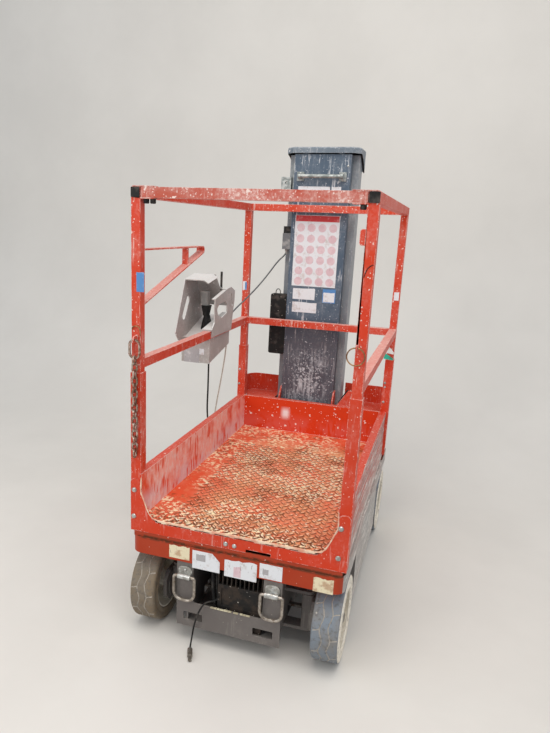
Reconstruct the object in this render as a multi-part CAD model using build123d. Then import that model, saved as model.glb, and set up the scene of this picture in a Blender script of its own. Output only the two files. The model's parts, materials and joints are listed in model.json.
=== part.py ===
from build123d import *
import math
import os

os.makedirs("parts", exist_ok=True)

# Self-propelled vertical mast lift, millimetres.
# The origin is on the floor under the middle of the machine, +Z is up,
# the open end of the platform faces -Y and the mast stands at the +Y end.

# Driving dimensions
WIDTH = 760
FRONT_Y = -645
PLATFORM_LENGTH = 1144
FLOOR_Z = 450
RAIL_HEIGHT = 1100
MID_RAIL_HEIGHT = 545
KICK_HEIGHT = 163
TUBE = 32
TUBE_WALL = 2.5
SOCKET_WALL = 3
SOCKET_FIT = 0.1
FRONT_SOCKET_TOP = 966
REAR_SOCKET_TOP = 868
SHEET = 3
FLANGE = 30

# Tray
TRAY_DEPTH = 52
GUSSET_HEIGHT = 142
SILL_HEIGHT = 43
GUSSET_TOP_WIDTH = 38
GUSSET_FOOT_WIDTH = 88
SILL_NOTCH_WIDTH = 86
SILL_NOTCH_X = 88

# Base
GROUND_CLEARANCE = 64
APRON_BOTTOM = 316
APRON_HEIGHT = 63
APRON_CORNER = 36
APRON_FLANGE = 18
BASE_FLOOR_Z = 90
BASE_PLATE = 6
NOSE_HALF = 165
NOSE_LENGTH = 340
MID_LENGTH = 660
MID_HALF = 372
TAIL_HALF = 262

# Wheels and steering
WHEEL_RADIUS = 150
TYRE_WIDTH = 95
TYRE_SHOULDER = 9
RIM_RADIUS = 104
WHEEL_TRACK_OUTSIDE = 756
FRONT_WHEEL_BACK = 128
WHEELBASE = 1050
AXLE_RADIUS = 14
PIVOT_X = 245
PIVOT_RADIUS = 12
RUNNING_GAP = 0.05
STEER_ARM = 75
LUG_THICK = 12

# Mast
MAST_X = -30
MAST_HALF = 131
COLUMN_HALF = 162
MAST_BACK = 1335
MAST_TOP = 1776
MAST_FOOT = 96
PROFILE_WALL = 5
PROFILE_GAP = 5
PROFILE_STEP_Y = 10
COVER_Y = 1195
COVER_WALL = 5
COVER_FOOT = 412
NECK_HALF = 86
MOUTH_HALF = 92
STAGES = 3

# Rear covers round the mast
COVER_TOP = 600
FENCE_TOP = 690
COVER_FRONT = 1190
FENCE_WALL = 4
FENCE_CORNER = 60

# Control box
BOX_X_OUT = -475
BOX_Y = 640
BOX_LENGTH = 250
BOX_BOTTOM = 872
BOX_RISE = 48
HOOD_TOP = 1239


def block(x0, x1, y0, y1, z0, z1):
    """A block between two corners."""
    size = (abs(x1 - x0), abs(y1 - y0), abs(z1 - z0))
    middle = Pos((x0 + x1) / 2, (y0 + y1) / 2, (z0 + z1) / 2)
    return middle * Box(*size)


def rod(start, end, radius):
    """A round rod between two points."""
    line = Line(start, end)
    return extrude(Plane(line @ 0, z_dir=line % 0) * Circle(radius), line.length)


def tube_outside(start, end, upright=(0, 0, 1)):
    """The outside of a square tube between two points."""
    line = Line(start, end)
    plane = Plane(origin=line @ 0, x_dir=Vector(*upright), z_dir=line % 0)
    return extrude(plane * Rectangle(TUBE, TUBE), line.length)


def tube_core(start, end, upright=(0, 0, 1), stop=0):
    """The hollow of the same tube, ending this far before its second point."""
    line = Line(start, end)
    plane = Plane(origin=line @ 0, x_dir=Vector(*upright), z_dir=line % 0)
    side = TUBE - 2 * TUBE_WALL
    return extrude(plane * Rectangle(side, side), line.length - stop)


def front(distance):
    """The y of a place that lies this far behind the tray's front."""
    return FRONT_Y + distance


# Places that several pieces share
HALF = WIDTH / 2
SOCKET = TUBE + 2 * (SOCKET_WALL + SOCKET_FIT)
POST_X = HALF - SOCKET / 2
INNER_HALF = HALF - SOCKET - SHEET
POST_FRONT_Y = front(SOCKET / 2)
POST_REAR_Y = front(PLATFORM_LENGTH + SOCKET / 2)
TRAY_BACK_Y = front(PLATFORM_LENGTH)
TRAY_BOTTOM = FLOOR_Z - TRAY_DEPTH
KICK_TOP = FLOOR_Z + KICK_HEIGHT
TOP_RAIL_Z = FLOOR_Z + RAIL_HEIGHT - TUBE / 2
MID_RAIL_Z = FLOOR_Z + MID_RAIL_HEIGHT
POST_TOP = TOP_RAIL_Z - TUBE / 2
RAIL_TOP = TOP_RAIL_Z + TUBE / 2
SIDES = (("left", -1), ("right", 1))

# Tray: floor, kick walls with folded tops, back wall and front sill with gussets
tray = block(-INNER_HALF, INNER_HALF, front(0), TRAY_BACK_Y, FLOOR_Z - SHEET, FLOOR_Z)
for name, side in SIDES:
    wall_in = side * INNER_HALF
    wall_out = side * (INNER_HALF + SHEET)
    flange_out = side * (INNER_HALF + FLANGE)
    tray += block(wall_in, wall_out, front(0), POST_REAR_Y + SOCKET / 2, TRAY_BOTTOM, KICK_TOP)
    flange_front = POST_FRONT_Y + SOCKET / 2
    flange_rear = POST_REAR_Y - SOCKET / 2
    tray += block(wall_in, flange_out, flange_front, flange_rear, KICK_TOP - SHEET, KICK_TOP)
    lip_in = side * (INNER_HALF + FLANGE - SHEET)
    tray += block(lip_in, flange_out, flange_front, flange_rear, KICK_TOP - 14, KICK_TOP)
back_front = TRAY_BACK_Y - SHEET
tray += block(-INNER_HALF, INNER_HALF, back_front, TRAY_BACK_Y, TRAY_BOTTOM, KICK_TOP)
back_lip = INNER_HALF - 40
tray += block(-back_lip, back_lip, back_front, TRAY_BACK_Y + 20, KICK_TOP - SHEET, KICK_TOP)
for distance in (0.25, 0.5, 0.75):
    rib_y = front(PLATFORM_LENGTH * distance)
    rib = block(-INNER_HALF, INNER_HALF, rib_y - 20, rib_y + 20, TRAY_BOTTOM + 8, FLOOR_Z - SHEET)
    rib -= block(-INNER_HALF, INNER_HALF, rib_y - 17, rib_y + 17, TRAY_BOTTOM + 8, FLOOR_Z - 2 * SHEET)
    tray += rib

# Raised gusset on the back wall, beside the mast
GUSSET_X = 128
GUSSET_WIDTH = 88
GUSSET_RISE = 78
gusset_y = TRAY_BACK_Y + 17
gusset_plane = Plane(origin=(0, gusset_y, 0), x_dir=(1, 0, 0), z_dir=(0, -1, 0))
gusset = make_face(
    Polyline(
        (GUSSET_X, KICK_TOP - SHEET),
        (GUSSET_X + GUSSET_WIDTH, KICK_TOP - SHEET),
        (GUSSET_X + GUSSET_WIDTH, KICK_TOP + GUSSET_RISE),
        (GUSSET_X + 52, KICK_TOP + GUSSET_RISE),
        close=True,
    )
)
tray += extrude(gusset_plane * gusset, -5)

# The front sill is one sheet with a wide U cut and rounded gussets at both ends
SILL_TOP = TRAY_BOTTOM + SILL_HEIGHT
GUSSET_TOP = FLOOR_Z + GUSSET_HEIGHT
sheet_front = front(-SHEET)
sill_plane = Plane(origin=(0, sheet_front, 0), x_dir=(1, 0, 0), z_dir=(0, -1, 0))
sill_height = GUSSET_TOP - TRAY_BOTTOM
sill_outline = Pos(0, TRAY_BOTTOM + sill_height / 2) * Rectangle(WIDTH, sill_height)
cut_half = HALF - GUSSET_FOOT_WIDTH
cut_top = HALF - GUSSET_TOP_WIDTH
sill_cut = make_face(
    Polyline(
        (-cut_half, SILL_TOP),
        (cut_half, SILL_TOP),
        (cut_top, SILL_TOP + 96),
        (cut_top, GUSSET_TOP + 20),
        (-cut_top, GUSSET_TOP + 20),
        (-cut_top, SILL_TOP + 96),
        close=True,
    )
)
sill_cut = fillet(sill_cut.vertices().group_by(Axis.Y)[0], 34)
sill_outline -= sill_cut
sill_outline -= Pos(SILL_NOTCH_X, TRAY_BOTTOM) * Rectangle(SILL_NOTCH_WIDTH, 24)
corners = sill_outline.vertices().group_by(Axis.Y)[-1]
sill_outline = fillet(corners, GUSSET_TOP_WIDTH / 2 - 4)
sill = extrude(sill_plane * sill_outline, -SHEET)
tray += sill

# Guard rail: four posts in sockets, top rails, mid rails
POSTS = (
    ("front left", -POST_X, POST_FRONT_Y, FRONT_SOCKET_TOP),
    ("front right", POST_X, POST_FRONT_Y, FRONT_SOCKET_TOP),
    ("rear left", -POST_X, POST_REAR_Y, REAR_SOCKET_TOP),
    ("rear right", POST_X, POST_REAR_Y, REAR_SOCKET_TOP),
)
room = TUBE + 2 * SOCKET_FIT
for name, x, y, top in POSTS:
    ring = Rectangle(SOCKET, SOCKET) - Rectangle(room, room)
    tray += extrude(Pos(x, y, TRAY_BOTTOM) * ring, top - TRAY_BOTTOM)
    tray += extrude(Pos(x, y, TRAY_BOTTOM) * Rectangle(SOCKET, SOCKET), SHEET)
RAIL_FRONT = POST_FRONT_Y - TUBE / 2
RAIL_REAR = POST_REAR_Y + TUBE / 2
RUNS = []
for name, x, y, top in POSTS:
    RUNS.append(((x, y, TRAY_BOTTOM + SHEET), (x, y, TOP_RAIL_Z), (0, 1, 0), 0))
for name, side in SIDES:
    x = side * POST_X
    RUNS.append(((x, RAIL_FRONT, TOP_RAIL_Z), (x, RAIL_REAR, TOP_RAIL_Z), (0, 0, 1), 1))
    RUNS.append(((x, POST_FRONT_Y, MID_RAIL_Z), (x, POST_REAR_Y, MID_RAIL_Z), (0, 0, 1), 0))
for z in (TOP_RAIL_Z, MID_RAIL_Z):
    RUNS.append(((-POST_X, POST_REAR_Y, z), (POST_X, POST_REAR_Y, z), (0, 0, 1), 0))
outsides = [tube_outside(start, end, upright) for start, end, upright, closed in RUNS]
cores = [tube_core(start, end, upright, closed * TUBE_WALL) for start, end, upright, closed in RUNS]
guard_rail = (Part() + outsides) - (Part() + cores)
for name, side in SIDES:
    plate_in = side * (POST_X - TUBE / 2)
    plate_far = side * (POST_X - TUBE / 2 - 44)
    plate_y0 = POST_FRONT_Y - TUBE / 2
    guard_rail += block(plate_in, plate_far, plate_y0, plate_y0 + TUBE, POST_TOP - 3, POST_TOP)
tab_x = POST_X - TUBE / 2
tab = block(tab_x - 16, tab_x, front(8), front(12), 1405, 1450)
tab = fillet(tab.edges().filter_by(Axis.Y).group_by(Axis.X)[0], 7)
guard_rail += tab

# Front top bar, clamped between plates on the ends of the side rails
bar_end = POST_X - TUBE / 2 - 2
BAR_Y = POST_FRONT_Y
front_bar = tube_outside((-bar_end, BAR_Y, TOP_RAIL_Z), (bar_end, BAR_Y, TOP_RAIL_Z))
front_bar -= tube_core((-bar_end, BAR_Y, TOP_RAIL_Z), (bar_end, BAR_Y, TOP_RAIL_Z))
for name, side in SIDES:
    x0 = side * (bar_end - 44)
    x1 = side * (bar_end + 28)
    front_bar += block(x0, x1, BAR_Y - TUBE / 2 - 1, BAR_Y + TUBE / 2 + 1, RAIL_TOP, RAIL_TOP + SHEET)

# Knobs under the bar's ends and black caps in the open ends of the side rails
KNOBS = (
    ("knob_left_outer", -bar_end + 11),
    ("knob_left_inner", -bar_end + 34),
    ("knob_right", bar_end - 12),
)
rail_fittings = []
for name, x in KNOBS:
    knob = Pos(x, BAR_Y, POST_TOP - SHEET - 7) * Cylinder(9, 14)
    knob = fillet(knob.edges().group_by(Axis.Z)[0], 3)
    rail_fittings.append(knob)
for name, side in SIDES:
    inner = TUBE - 2 * TUBE_WALL - 0.2
    cap = Pos(side * POST_X, RAIL_FRONT - 1.5, TOP_RAIL_Z) * Box(TUBE - 2, 3, TUBE - 2)
    cap = fillet(cap.edges().filter_by(Axis.Y), 3)
    cap += Pos(side * POST_X, RAIL_FRONT + 7, TOP_RAIL_Z) * Box(inner, 14, inner)
    rail_fittings.append(cap)
rail_fittings = Compound(rail_fittings)

# Three-cornered flat bar on the left side, bent to a loop
LOOP_DROP = 186
LOOP_HEIGHT = 174
LOOP_REACH = 585
LOOP_TOP = RAIL_TOP - LOOP_DROP
LOOP_LOW = LOOP_TOP - LOOP_HEIGHT
LOOP_BAR = 5
LOOP_WIDTH = 32
loop_y = POST_FRONT_Y + TUBE / 2
loop_plane = Plane(origin=(-POST_X - LOOP_WIDTH / 2, 0, 0), x_dir=(0, 1, 0), z_dir=(1, 0, 0))
loop_line = FilletPolyline(
    (loop_y, LOOP_TOP - LOOP_BAR / 2),
    (loop_y + LOOP_REACH, LOOP_TOP - LOOP_BAR / 2),
    (loop_y, LOOP_LOW),
    radius=12,
)
loop_face = trace(loop_line, LOOP_BAR)
side_loop = extrude(loop_plane * loop_face, LOOP_WIDTH)
strut_y = loop_y + 0.62 * LOOP_REACH
strut_low = LOOP_LOW + 0.62 * (LOOP_TOP - LOOP_LOW)
loop_in = -POST_X - LOOP_WIDTH / 2 + 4
side_loop += block(loop_in, loop_in + LOOP_WIDTH - 8, strut_y - 3, strut_y + 3, strut_low, LOOP_TOP - 2)
side_loop -= block(-HALF - 5, -HALF + SOCKET + 5, front(0), loop_y, LOOP_LOW - 40, LOOP_TOP + 10)

# Entry chain, hanging from an eye on the left post
LINK_LENGTH = 34
LINK_WIDTH = 22
LINK_WIRE = 5
LINK_COUNT = 15
EYE_Z = 1080
EYE_HOLE = 6
EYE_RADIUS = 11
CHAIN_X = -POST_X + 3
CHAIN_Y = front(-13)


def link(length, width, wire):
    """One oval link, flat in XZ, with its middle at the origin."""
    outer = SlotOverall(length, width)
    inner = SlotOverall(length - 2 * wire, width - 2 * wire)
    flat = extrude(outer - inner, wire / 2, both=True)
    return Rot(0, 90, 0) * flat


def sag(radius, thickness):
    """How far a round seat rises at the edges of a bar of this thickness."""
    return radius - math.sqrt(radius**2 - (thickness / 2) ** 2)


CHAIN_FIT = 0.05
EYE_THICK = 5
eye = Pos(CHAIN_X, CHAIN_Y, EYE_Z) * Rot(0, 90, 0) * Cylinder(EYE_RADIUS, EYE_THICK)
eye += block(CHAIN_X - EYE_THICK / 2, CHAIN_X + EYE_THICK / 2, CHAIN_Y, RAIL_FRONT, EYE_Z - EYE_RADIUS, EYE_Z + EYE_RADIUS)
eye -= Pos(CHAIN_X, CHAIN_Y, EYE_Z) * Rot(0, 90, 0) * Cylinder(EYE_HOLE, 8)
guard_rail += eye
HOOK_LENGTH = 66
HOOK_WIDTH = 42
HOOK_WIRE = 6
hook_reach = HOOK_LENGTH / 2 - HOOK_WIRE
hook_round = HOOK_WIDTH / 2 - HOOK_WIRE
hook_seat = EYE_HOLE - sag(EYE_HOLE, HOOK_WIRE) - sag(hook_round, EYE_THICK)
hook_z = EYE_Z - hook_seat - hook_reach + CHAIN_FIT
snap_hook = link(HOOK_LENGTH, HOOK_WIDTH, HOOK_WIRE)
snap_hook = Pos(CHAIN_X, CHAIN_Y, hook_z) * Rot(0, 0, 90) * snap_hook
links = []
link_reach = LINK_LENGTH / 2 - LINK_WIRE
link_round = LINK_WIDTH / 2 - LINK_WIRE
first_rise = sag(hook_round, LINK_WIRE) + sag(link_round, HOOK_WIRE) + CHAIN_FIT
link_z = hook_z - hook_reach - link_reach + first_rise
link_pitch = 2 * link_reach - 2 * sag(link_round, LINK_WIRE) - CHAIN_FIT
for index in range(LINK_COUNT):
    turn = 90 if index % 2 else 0
    piece = Rot(0, 0, turn) * link(LINK_LENGTH, LINK_WIDTH, LINK_WIRE)
    links.append(Pos(CHAIN_X, CHAIN_Y, link_z - index * link_pitch) * piece)

# Split ring on the right post, where the chain hooks in
RING_RADIUS = 26
RING_WIRE = 2
RING_EYE_Z = 1118
ring_x = POST_X - 12
ring_y = front(-6)
ring_eye = block(ring_x - 2, ring_x + 2, front(-12), RAIL_FRONT, RING_EYE_Z - 8, RING_EYE_Z + 8)
ring_eye -= Pos(ring_x, ring_y, RING_EYE_Z) * Rot(0, 90, 0) * Cylinder(3.4, 8)
guard_rail += ring_eye
ring_drop = RING_RADIUS - 3.4 + RING_WIRE
split_ring = Pos(ring_x, ring_y, RING_EYE_Z - ring_drop) * Rot(90, 0, 0) * Torus(RING_RADIUS, RING_WIRE)

# Base pan: low red apron with rounded corners, a folded top and a deck
apron_front = front(-6)
apron_rear = front(MAST_BACK)
apron_mid = (apron_front + apron_rear) / 2
apron_length = apron_rear - apron_front
apron_half = HALF - 3
APRON_TOP = APRON_BOTTOM + APRON_HEIGHT
outer = RectangleRounded(2 * apron_half, apron_length, APRON_CORNER)
inner = RectangleRounded(2 * (apron_half - SHEET), apron_length - 2 * SHEET, APRON_CORNER - SHEET)
ledge = RectangleRounded(
    2 * (apron_half - APRON_FLANGE), apron_length - 2 * APRON_FLANGE, APRON_CORNER - APRON_FLANGE
)
base_apron = extrude(Pos(0, apron_mid, APRON_BOTTOM) * (outer - inner), APRON_HEIGHT)
base_apron += extrude(Pos(0, apron_mid, APRON_BOTTOM) * outer, SHEET)
base_apron += extrude(Pos(0, apron_mid, APRON_TOP - SHEET) * (outer - ledge), SHEET)
cover_front_y = front(COVER_FRONT)
ledge_cut = block(-HALF, HALF, cover_front_y - 4, apron_rear + 5, APRON_BOTTOM + SHEET, APRON_TOP + 5)
ledge_cut -= block(-HALF, -apron_half + SHEET, 0, apron_rear - APRON_CORNER, 0, 2 * APRON_TOP)
ledge_cut -= block(apron_half - SHEET, HALF, 0, apron_rear - APRON_CORNER, 0, 2 * APRON_TOP)
base_apron -= ledge_cut
mast_room = block(
    MAST_X - COLUMN_HALF - 12,
    MAST_X + COLUMN_HALF + 12,
    front(COVER_Y) - 12,
    front(MAST_BACK) + 10,
    APRON_BOTTOM - 5,
    APRON_TOP + 5,
)
base_apron -= mast_room

# Rear covers with a raised fence round the back of the mast
plan = Pos(0, (cover_front_y + apron_rear) / 2) * Rectangle(2 * (apron_half - SHEET - 0.5), apron_rear - cover_front_y)
plan = fillet(plan.vertices().group_by(Axis.Y)[-1], FENCE_CORNER)
shell_plan = offset(plan, -FENCE_WALL, kind=Kind.INTERSECTION)
COVER_FOOT_Z = APRON_BOTTOM + SHEET
whole = extrude(Pos(0, 0, COVER_FOOT_Z) * plan, FENCE_TOP - COVER_FOOT_Z)
whole -= extrude(Pos(0, 0, COVER_FOOT_Z) * shell_plan, COVER_TOP - FENCE_WALL - COVER_FOOT_Z)
fence_room = Pos(0, -FENCE_WALL) * plan
fence_room = offset(plan, -FENCE_WALL, kind=Kind.INTERSECTION)
fence_cut = extrude(Pos(0, 0, COVER_TOP) * fence_room, FENCE_TOP)
fence_cut += block(-HALF, HALF, cover_front_y - 5, cover_front_y + FENCE_WALL + 1, COVER_TOP, 2 * FENCE_TOP)
whole -= fence_cut
covers = {}
for name, side in SIDES:
    room_edge = MAST_X + side * (COLUMN_HALF + 8)
    far_edge = side * (HALF + 20)
    keep = block(room_edge, far_edge, cover_front_y - 10, apron_rear + 10, COVER_FOOT_Z, FENCE_TOP + 5)
    half_cover = whole & keep
    wall_end = MAST_X + side * (COLUMN_HALF + 8 + FENCE_WALL)
    half_cover += block(
        room_edge, wall_end, cover_front_y, apron_rear, COVER_FOOT_Z, COVER_TOP
    )
    covers[name] = half_cover

# Chassis: narrow nose between the steered wheels, full-width middle, narrow tail
nose_front = front(5)
nose_rear = front(NOSE_LENGTH)
mid_rear = front(NOSE_LENGTH + MID_LENGTH)
tail_rear = front(MAST_BACK)
CHASSIS_TOP = APRON_BOTTOM
AXLE_Z = WHEEL_RADIUS
FRONT_AXLE_Y = front(FRONT_WHEEL_BACK)
REAR_AXLE_Y = front(FRONT_WHEEL_BACK + WHEELBASE)


def trough(half, y0, y1, z0, z1, wall):
    """An open box of plate: a floor and two sides."""
    body = block(-half, half, y0, y1, z0, z1)
    body -= block(-half + wall, half - wall, y0 - 1, y1 + 1, z0 + wall, z1 + 1)
    return body


nose = trough(NOSE_HALF, nose_front, nose_rear, BASE_FLOOR_Z - 10, CHASSIS_TOP, BASE_PLATE)
mid = block(-MID_HALF, MID_HALF, nose_rear, mid_rear, BASE_FLOOR_Z, CHASSIS_TOP)
mid -= block(
    -MID_HALF + 4, MID_HALF - 4, nose_rear + 4, mid_rear - 4, BASE_FLOOR_Z + 4, CHASSIS_TOP + 1
)
tail = trough(TAIL_HALF, mid_rear, tail_rear, BASE_FLOOR_Z, CHASSIS_TOP, BASE_PLATE)
chassis = mid + tail
for side in (-1, 1):
    inner_edge = MAST_X + side * COLUMN_HALF
    chassis += block(inner_edge, side * TAIL_HALF, tail_rear - BASE_PLATE, tail_rear, BASE_FLOOR_Z, CHASSIS_TOP)

# Batteries in the middle and a steel counterweight in the tail
BATTERY = (181, 262, 200)
battery_gap = 12
battery_z = BASE_FLOOR_Z + 4
battery_pack = []
for x_side in (-1, 1):
    for y_side in (-1, 1):
        bx = x_side * (MID_HALF - 4 - battery_gap - BATTERY[0] / 2)
        by = (nose_rear + mid_rear) / 2 + y_side * (BATTERY[1] + battery_gap) / 2
        cell = Pos(bx, by, battery_z + BATTERY[2] / 2) * Box(*BATTERY)
        cell = fillet(cell.edges().filter_by(Axis.Z), 6)
        battery_pack.append(cell)
battery_pack = Compound(battery_pack)
WEIGHT_LENGTH = 170
WEIGHT_HEIGHT = 196
weight_half = TAIL_HALF - BASE_PLATE - 2
counterweight = block(
    -weight_half,
    weight_half,
    mid_rear + 4,
    mid_rear + 4 + WEIGHT_LENGTH,
    BASE_FLOOR_Z + BASE_PLATE,
    BASE_FLOOR_Z + BASE_PLATE + WEIGHT_HEIGHT,
)

# Steering lugs above and below each knuckle, and rear axle stubs
KNUCKLE_LOW = BASE_FLOOR_Z + LUG_THICK - 10 + 0.3
KNUCKLE_HIGH = 222
lug_low_z = BASE_FLOOR_Z - 10
for name, side in SIDES:
    pivot = side * PIVOT_X
    for z in (lug_low_z, KNUCKLE_HIGH + 0.3):
        lug = block(side * (NOSE_HALF - 3), pivot, FRONT_AXLE_Y - 24, FRONT_AXLE_Y + 24, z, z + LUG_THICK)
        lug += Pos(pivot, FRONT_AXLE_Y, z + LUG_THICK / 2) * Cylinder(24, LUG_THICK)
        lug -= Pos(pivot, FRONT_AXLE_Y, z + LUG_THICK / 2) * Cylinder(PIVOT_RADIUS + RUNNING_GAP, 30)
        nose += lug
    stub_out = WHEEL_TRACK_OUTSIDE / 2 - 12
    chassis += rod((side * (TAIL_HALF - 4), REAR_AXLE_Y, AXLE_Z), (side * stub_out, REAR_AXLE_Y, AXLE_Z), AXLE_RADIUS)
    chassis += rod((side * (TAIL_HALF - 4), REAR_AXLE_Y, AXLE_Z), (side * (TAIL_HALF + 14), REAR_AXLE_Y, AXLE_Z), 38)
LINK_Z = KNUCKLE_LOW + 12.3
window_y = FRONT_AXLE_Y + STEER_ARM
nose -= block(-HALF, HALF, window_y - 38, window_y + 22, KNUCKLE_LOW - 5, LINK_Z + 22)
# The nose is a plate box of its own, welded on to the front wall of the middle
chassis = Compound([nose, chassis])

# Front plate with a wide notch, two slots and ring hangers
PLATE_X = -12
PLATE_HALF = 189
PLATE_TOP = APRON_BOTTOM
PLATE_THICK = 6
NOTCH_LEFT = -141
NOTCH_RIGHT = 113
NOTCH_Z = 160
plate_front = nose_front - PLATE_THICK
plate_plane = Plane(origin=(0, nose_front, 0), x_dir=(1, 0, 0), z_dir=(0, -1, 0))
plate_height = PLATE_TOP - GROUND_CLEARANCE
plate_outline = Pos(PLATE_X, GROUND_CLEARANCE + plate_height / 2) * Rectangle(2 * PLATE_HALF, plate_height)
notch_width = NOTCH_RIGHT - NOTCH_LEFT
notch_mid = (NOTCH_LEFT + NOTCH_RIGHT) / 2
notch = Pos(notch_mid, NOTCH_Z + 100) * RectangleRounded(notch_width, 200, 10)
plate_outline -= notch
for x in (PLATE_X - 127, PLATE_X + 129):
    plate_outline -= Pos(x, 105) * RectangleRounded(72, 30, 4)
plate_pieces = [extrude(plate_plane * plate_outline, PLATE_THICK)]

D_RING_X = 157
D_RING_Z = 265
D_ROD = 5.5
D_WIDTH = 88
D_HEIGHT = 102
CLIP_TOP = 300
HANGER_Y = plate_front - 13
for side in (-1, 1):
    x = PLATE_X + side * D_RING_X
    hanger = Pos(x, HANGER_Y, D_RING_Z) * Rot(0, 90, 0) * Cylinder(10, 46)
    hanger += block(x - 23, x + 23, HANGER_Y, plate_front, D_RING_Z - 10, D_RING_Z + 10)
    tongue = block(x - 25, x + 25, plate_front - 5, plate_front, D_RING_Z - 10, CLIP_TOP)
    hanger += fillet(tongue.edges().filter_by(Axis.Y).group_by(Axis.Z)[-1], 16)
    hanger -= Pos(x, HANGER_Y, D_RING_Z) * Rot(0, 90, 0) * Cylinder(D_ROD + RUNNING_GAP, 60)
    plate_pieces.append(hanger)
front_plate = Compound(plate_pieces)
rings = {}
for name, side in SIDES:
    x = PLATE_X + side * D_RING_X
    half_w = D_WIDTH / 2 - D_ROD
    low = D_RING_Z - D_HEIGHT + 2 * D_ROD
    loop = Rectangle(2 * half_w, D_RING_Z - low)
    loop = fillet(loop.vertices().group_by(Axis.Y)[-1], 8)
    loop = fillet(loop.vertices().group_by(Axis.Y)[0], 30)
    ring_plane = Plane(origin=(x, HANGER_Y, (D_RING_Z + low) / 2), x_dir=(1, 0, 0), z_dir=(0, -1, 0))
    path = (ring_plane * loop).wire()
    rings[name] = sweep(Plane(path @ 0, z_dir=path % 0) * Circle(D_ROD), path)

# Finned black power unit behind the notch
UNIT_X0 = -54
UNIT_X1 = 107
UNIT_TOP = 300
FIN_HEIGHT = 50
fin_foot = UNIT_TOP - FIN_HEIGHT
unit_front = nose_front + 8
power_unit = block(UNIT_X0, UNIT_X1, unit_front, unit_front + 130, BASE_FLOOR_Z - 4, fin_foot)
FIN_COUNT = 11
fin_pitch = (UNIT_X1 - UNIT_X0 - 4) / (FIN_COUNT - 1)
for index in range(FIN_COUNT):
    x = UNIT_X0 + index * fin_pitch
    power_unit += block(x, x + 4, unit_front, unit_front + 130, fin_foot, UNIT_TOP)
unit_window = block(UNIT_X0 + 14, UNIT_X1 - 14, unit_front, unit_front + 4, 170, fin_foot - 14)
power_unit -= unit_window

# Knuckles with pins, motor housing, axle and steering arm
WHEEL_MID = WHEEL_TRACK_OUTSIDE / 2 - TYRE_WIDTH / 2
MOTOR_RADIUS = 56
FLANGE_THICK = 13
FLANGE_REACH = 75
FLANGE_LOW = 98
FLANGE_HIGH = 216
FLANGE_CORNER = 28
knuckles = {}
for name, side in SIDES:
    pivot = side * PIVOT_X
    body = block(pivot - 20, pivot + 20, FRONT_AXLE_Y - 26, FRONT_AXLE_Y + 26, KNUCKLE_LOW, KNUCKLE_HIGH)
    body = fillet(body.edges().filter_by(Axis.Z), 8)
    pin_low = lug_low_z + 1
    pin_high = KNUCKLE_HIGH + LUG_THICK + 4
    body += rod((pivot, FRONT_AXLE_Y, pin_low), (pivot, FRONT_AXLE_Y, pin_high), PIVOT_RADIUS)
    motor_in = side * (PIVOT_X + 18)
    motor_out = side * (WHEEL_MID - TYRE_WIDTH / 2 - 5)
    body += rod((motor_in, FRONT_AXLE_Y, AXLE_Z), (motor_out, FRONT_AXLE_Y, AXLE_Z), MOTOR_RADIUS)
    flange = Pos(motor_out, FRONT_AXLE_Y, (FLANGE_LOW + FLANGE_HIGH) / 2)
    flange *= Box(2 * FLANGE_THICK, 2 * FLANGE_REACH, FLANGE_HIGH - FLANGE_LOW)
    flange = chamfer(flange.edges().filter_by(Axis.X), FLANGE_CORNER)
    flange &= block(side * PIVOT_X, motor_out, FRONT_AXLE_Y - 100, FRONT_AXLE_Y + 100, 0, 300)
    body += flange
    axle_out = side * (WHEEL_TRACK_OUTSIDE / 2 - 12)
    body += rod((motor_in, FRONT_AXLE_Y, AXLE_Z), (axle_out, FRONT_AXLE_Y, AXLE_Z), AXLE_RADIUS)
    arm_y = FRONT_AXLE_Y + STEER_ARM
    arm = block(pivot - 12, pivot + 12, FRONT_AXLE_Y, arm_y, KNUCKLE_LOW, KNUCKLE_LOW + 12)
    arm += Pos(pivot, arm_y, KNUCKLE_LOW + 6) * Cylinder(12, 12)
    arm += Pos(pivot, arm_y, KNUCKLE_LOW + 16) * Cylinder(6, 22)
    body += arm
    knuckles[name] = body

# Tie rod on top of the steering arms
TIE_THICK = 9
tie_y = FRONT_AXLE_Y + STEER_ARM
tie_rod = block(-PIVOT_X, PIVOT_X, tie_y - 8, tie_y + 8, LINK_Z, LINK_Z + TIE_THICK)
for side, hole in ((-1, 6 + RUNNING_GAP), (1, 6.5)):
    tie_rod += Pos(side * PIVOT_X, tie_y, LINK_Z + TIE_THICK / 2) * Cylinder(14, TIE_THICK)
for side, hole in ((-1, 6 + RUNNING_GAP), (1, 6.5)):
    tie_rod -= Pos(side * PIVOT_X, tie_y, LINK_Z + TIE_THICK / 2) * Cylinder(hole, 3 * TIE_THICK)

# Wheels: solid tyre on a dished rim
WHEELS = (
    ("front_left", -1, FRONT_AXLE_Y),
    ("front_right", 1, FRONT_AXLE_Y),
    ("rear_left", -1, REAR_AXLE_Y),
    ("rear_right", 1, REAR_AXLE_Y),
)
HUB_RADIUS = 30
RIM_WALL = 5
RIM_WEB = 8
half_width = TYRE_WIDTH / 2
tyre_profile = Pos(0, (WHEEL_RADIUS + RIM_RADIUS) / 2) * Rectangle(TYRE_WIDTH, WHEEL_RADIUS - RIM_RADIUS)
tyre_profile = fillet(tyre_profile.vertices().group_by(Axis.Y)[-1], TYRE_SHOULDER)
tyre_shape = revolve(tyre_profile, Axis.X)
rim_in = RIM_RADIUS - RIM_WALL
rim_shape = Rot(0, 90, 0) * (Cylinder(RIM_RADIUS, TYRE_WIDTH - 8) - Cylinder(rim_in, TYRE_WIDTH))
web_x = half_width - 4 - 18
rim_shape += Pos(web_x, 0, 0) * Rot(0, 90, 0) * Cylinder(rim_in + 1, RIM_WEB)
rim_shape += Rot(0, 90, 0) * Cylinder(HUB_RADIUS, TYRE_WIDTH - 26)
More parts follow.
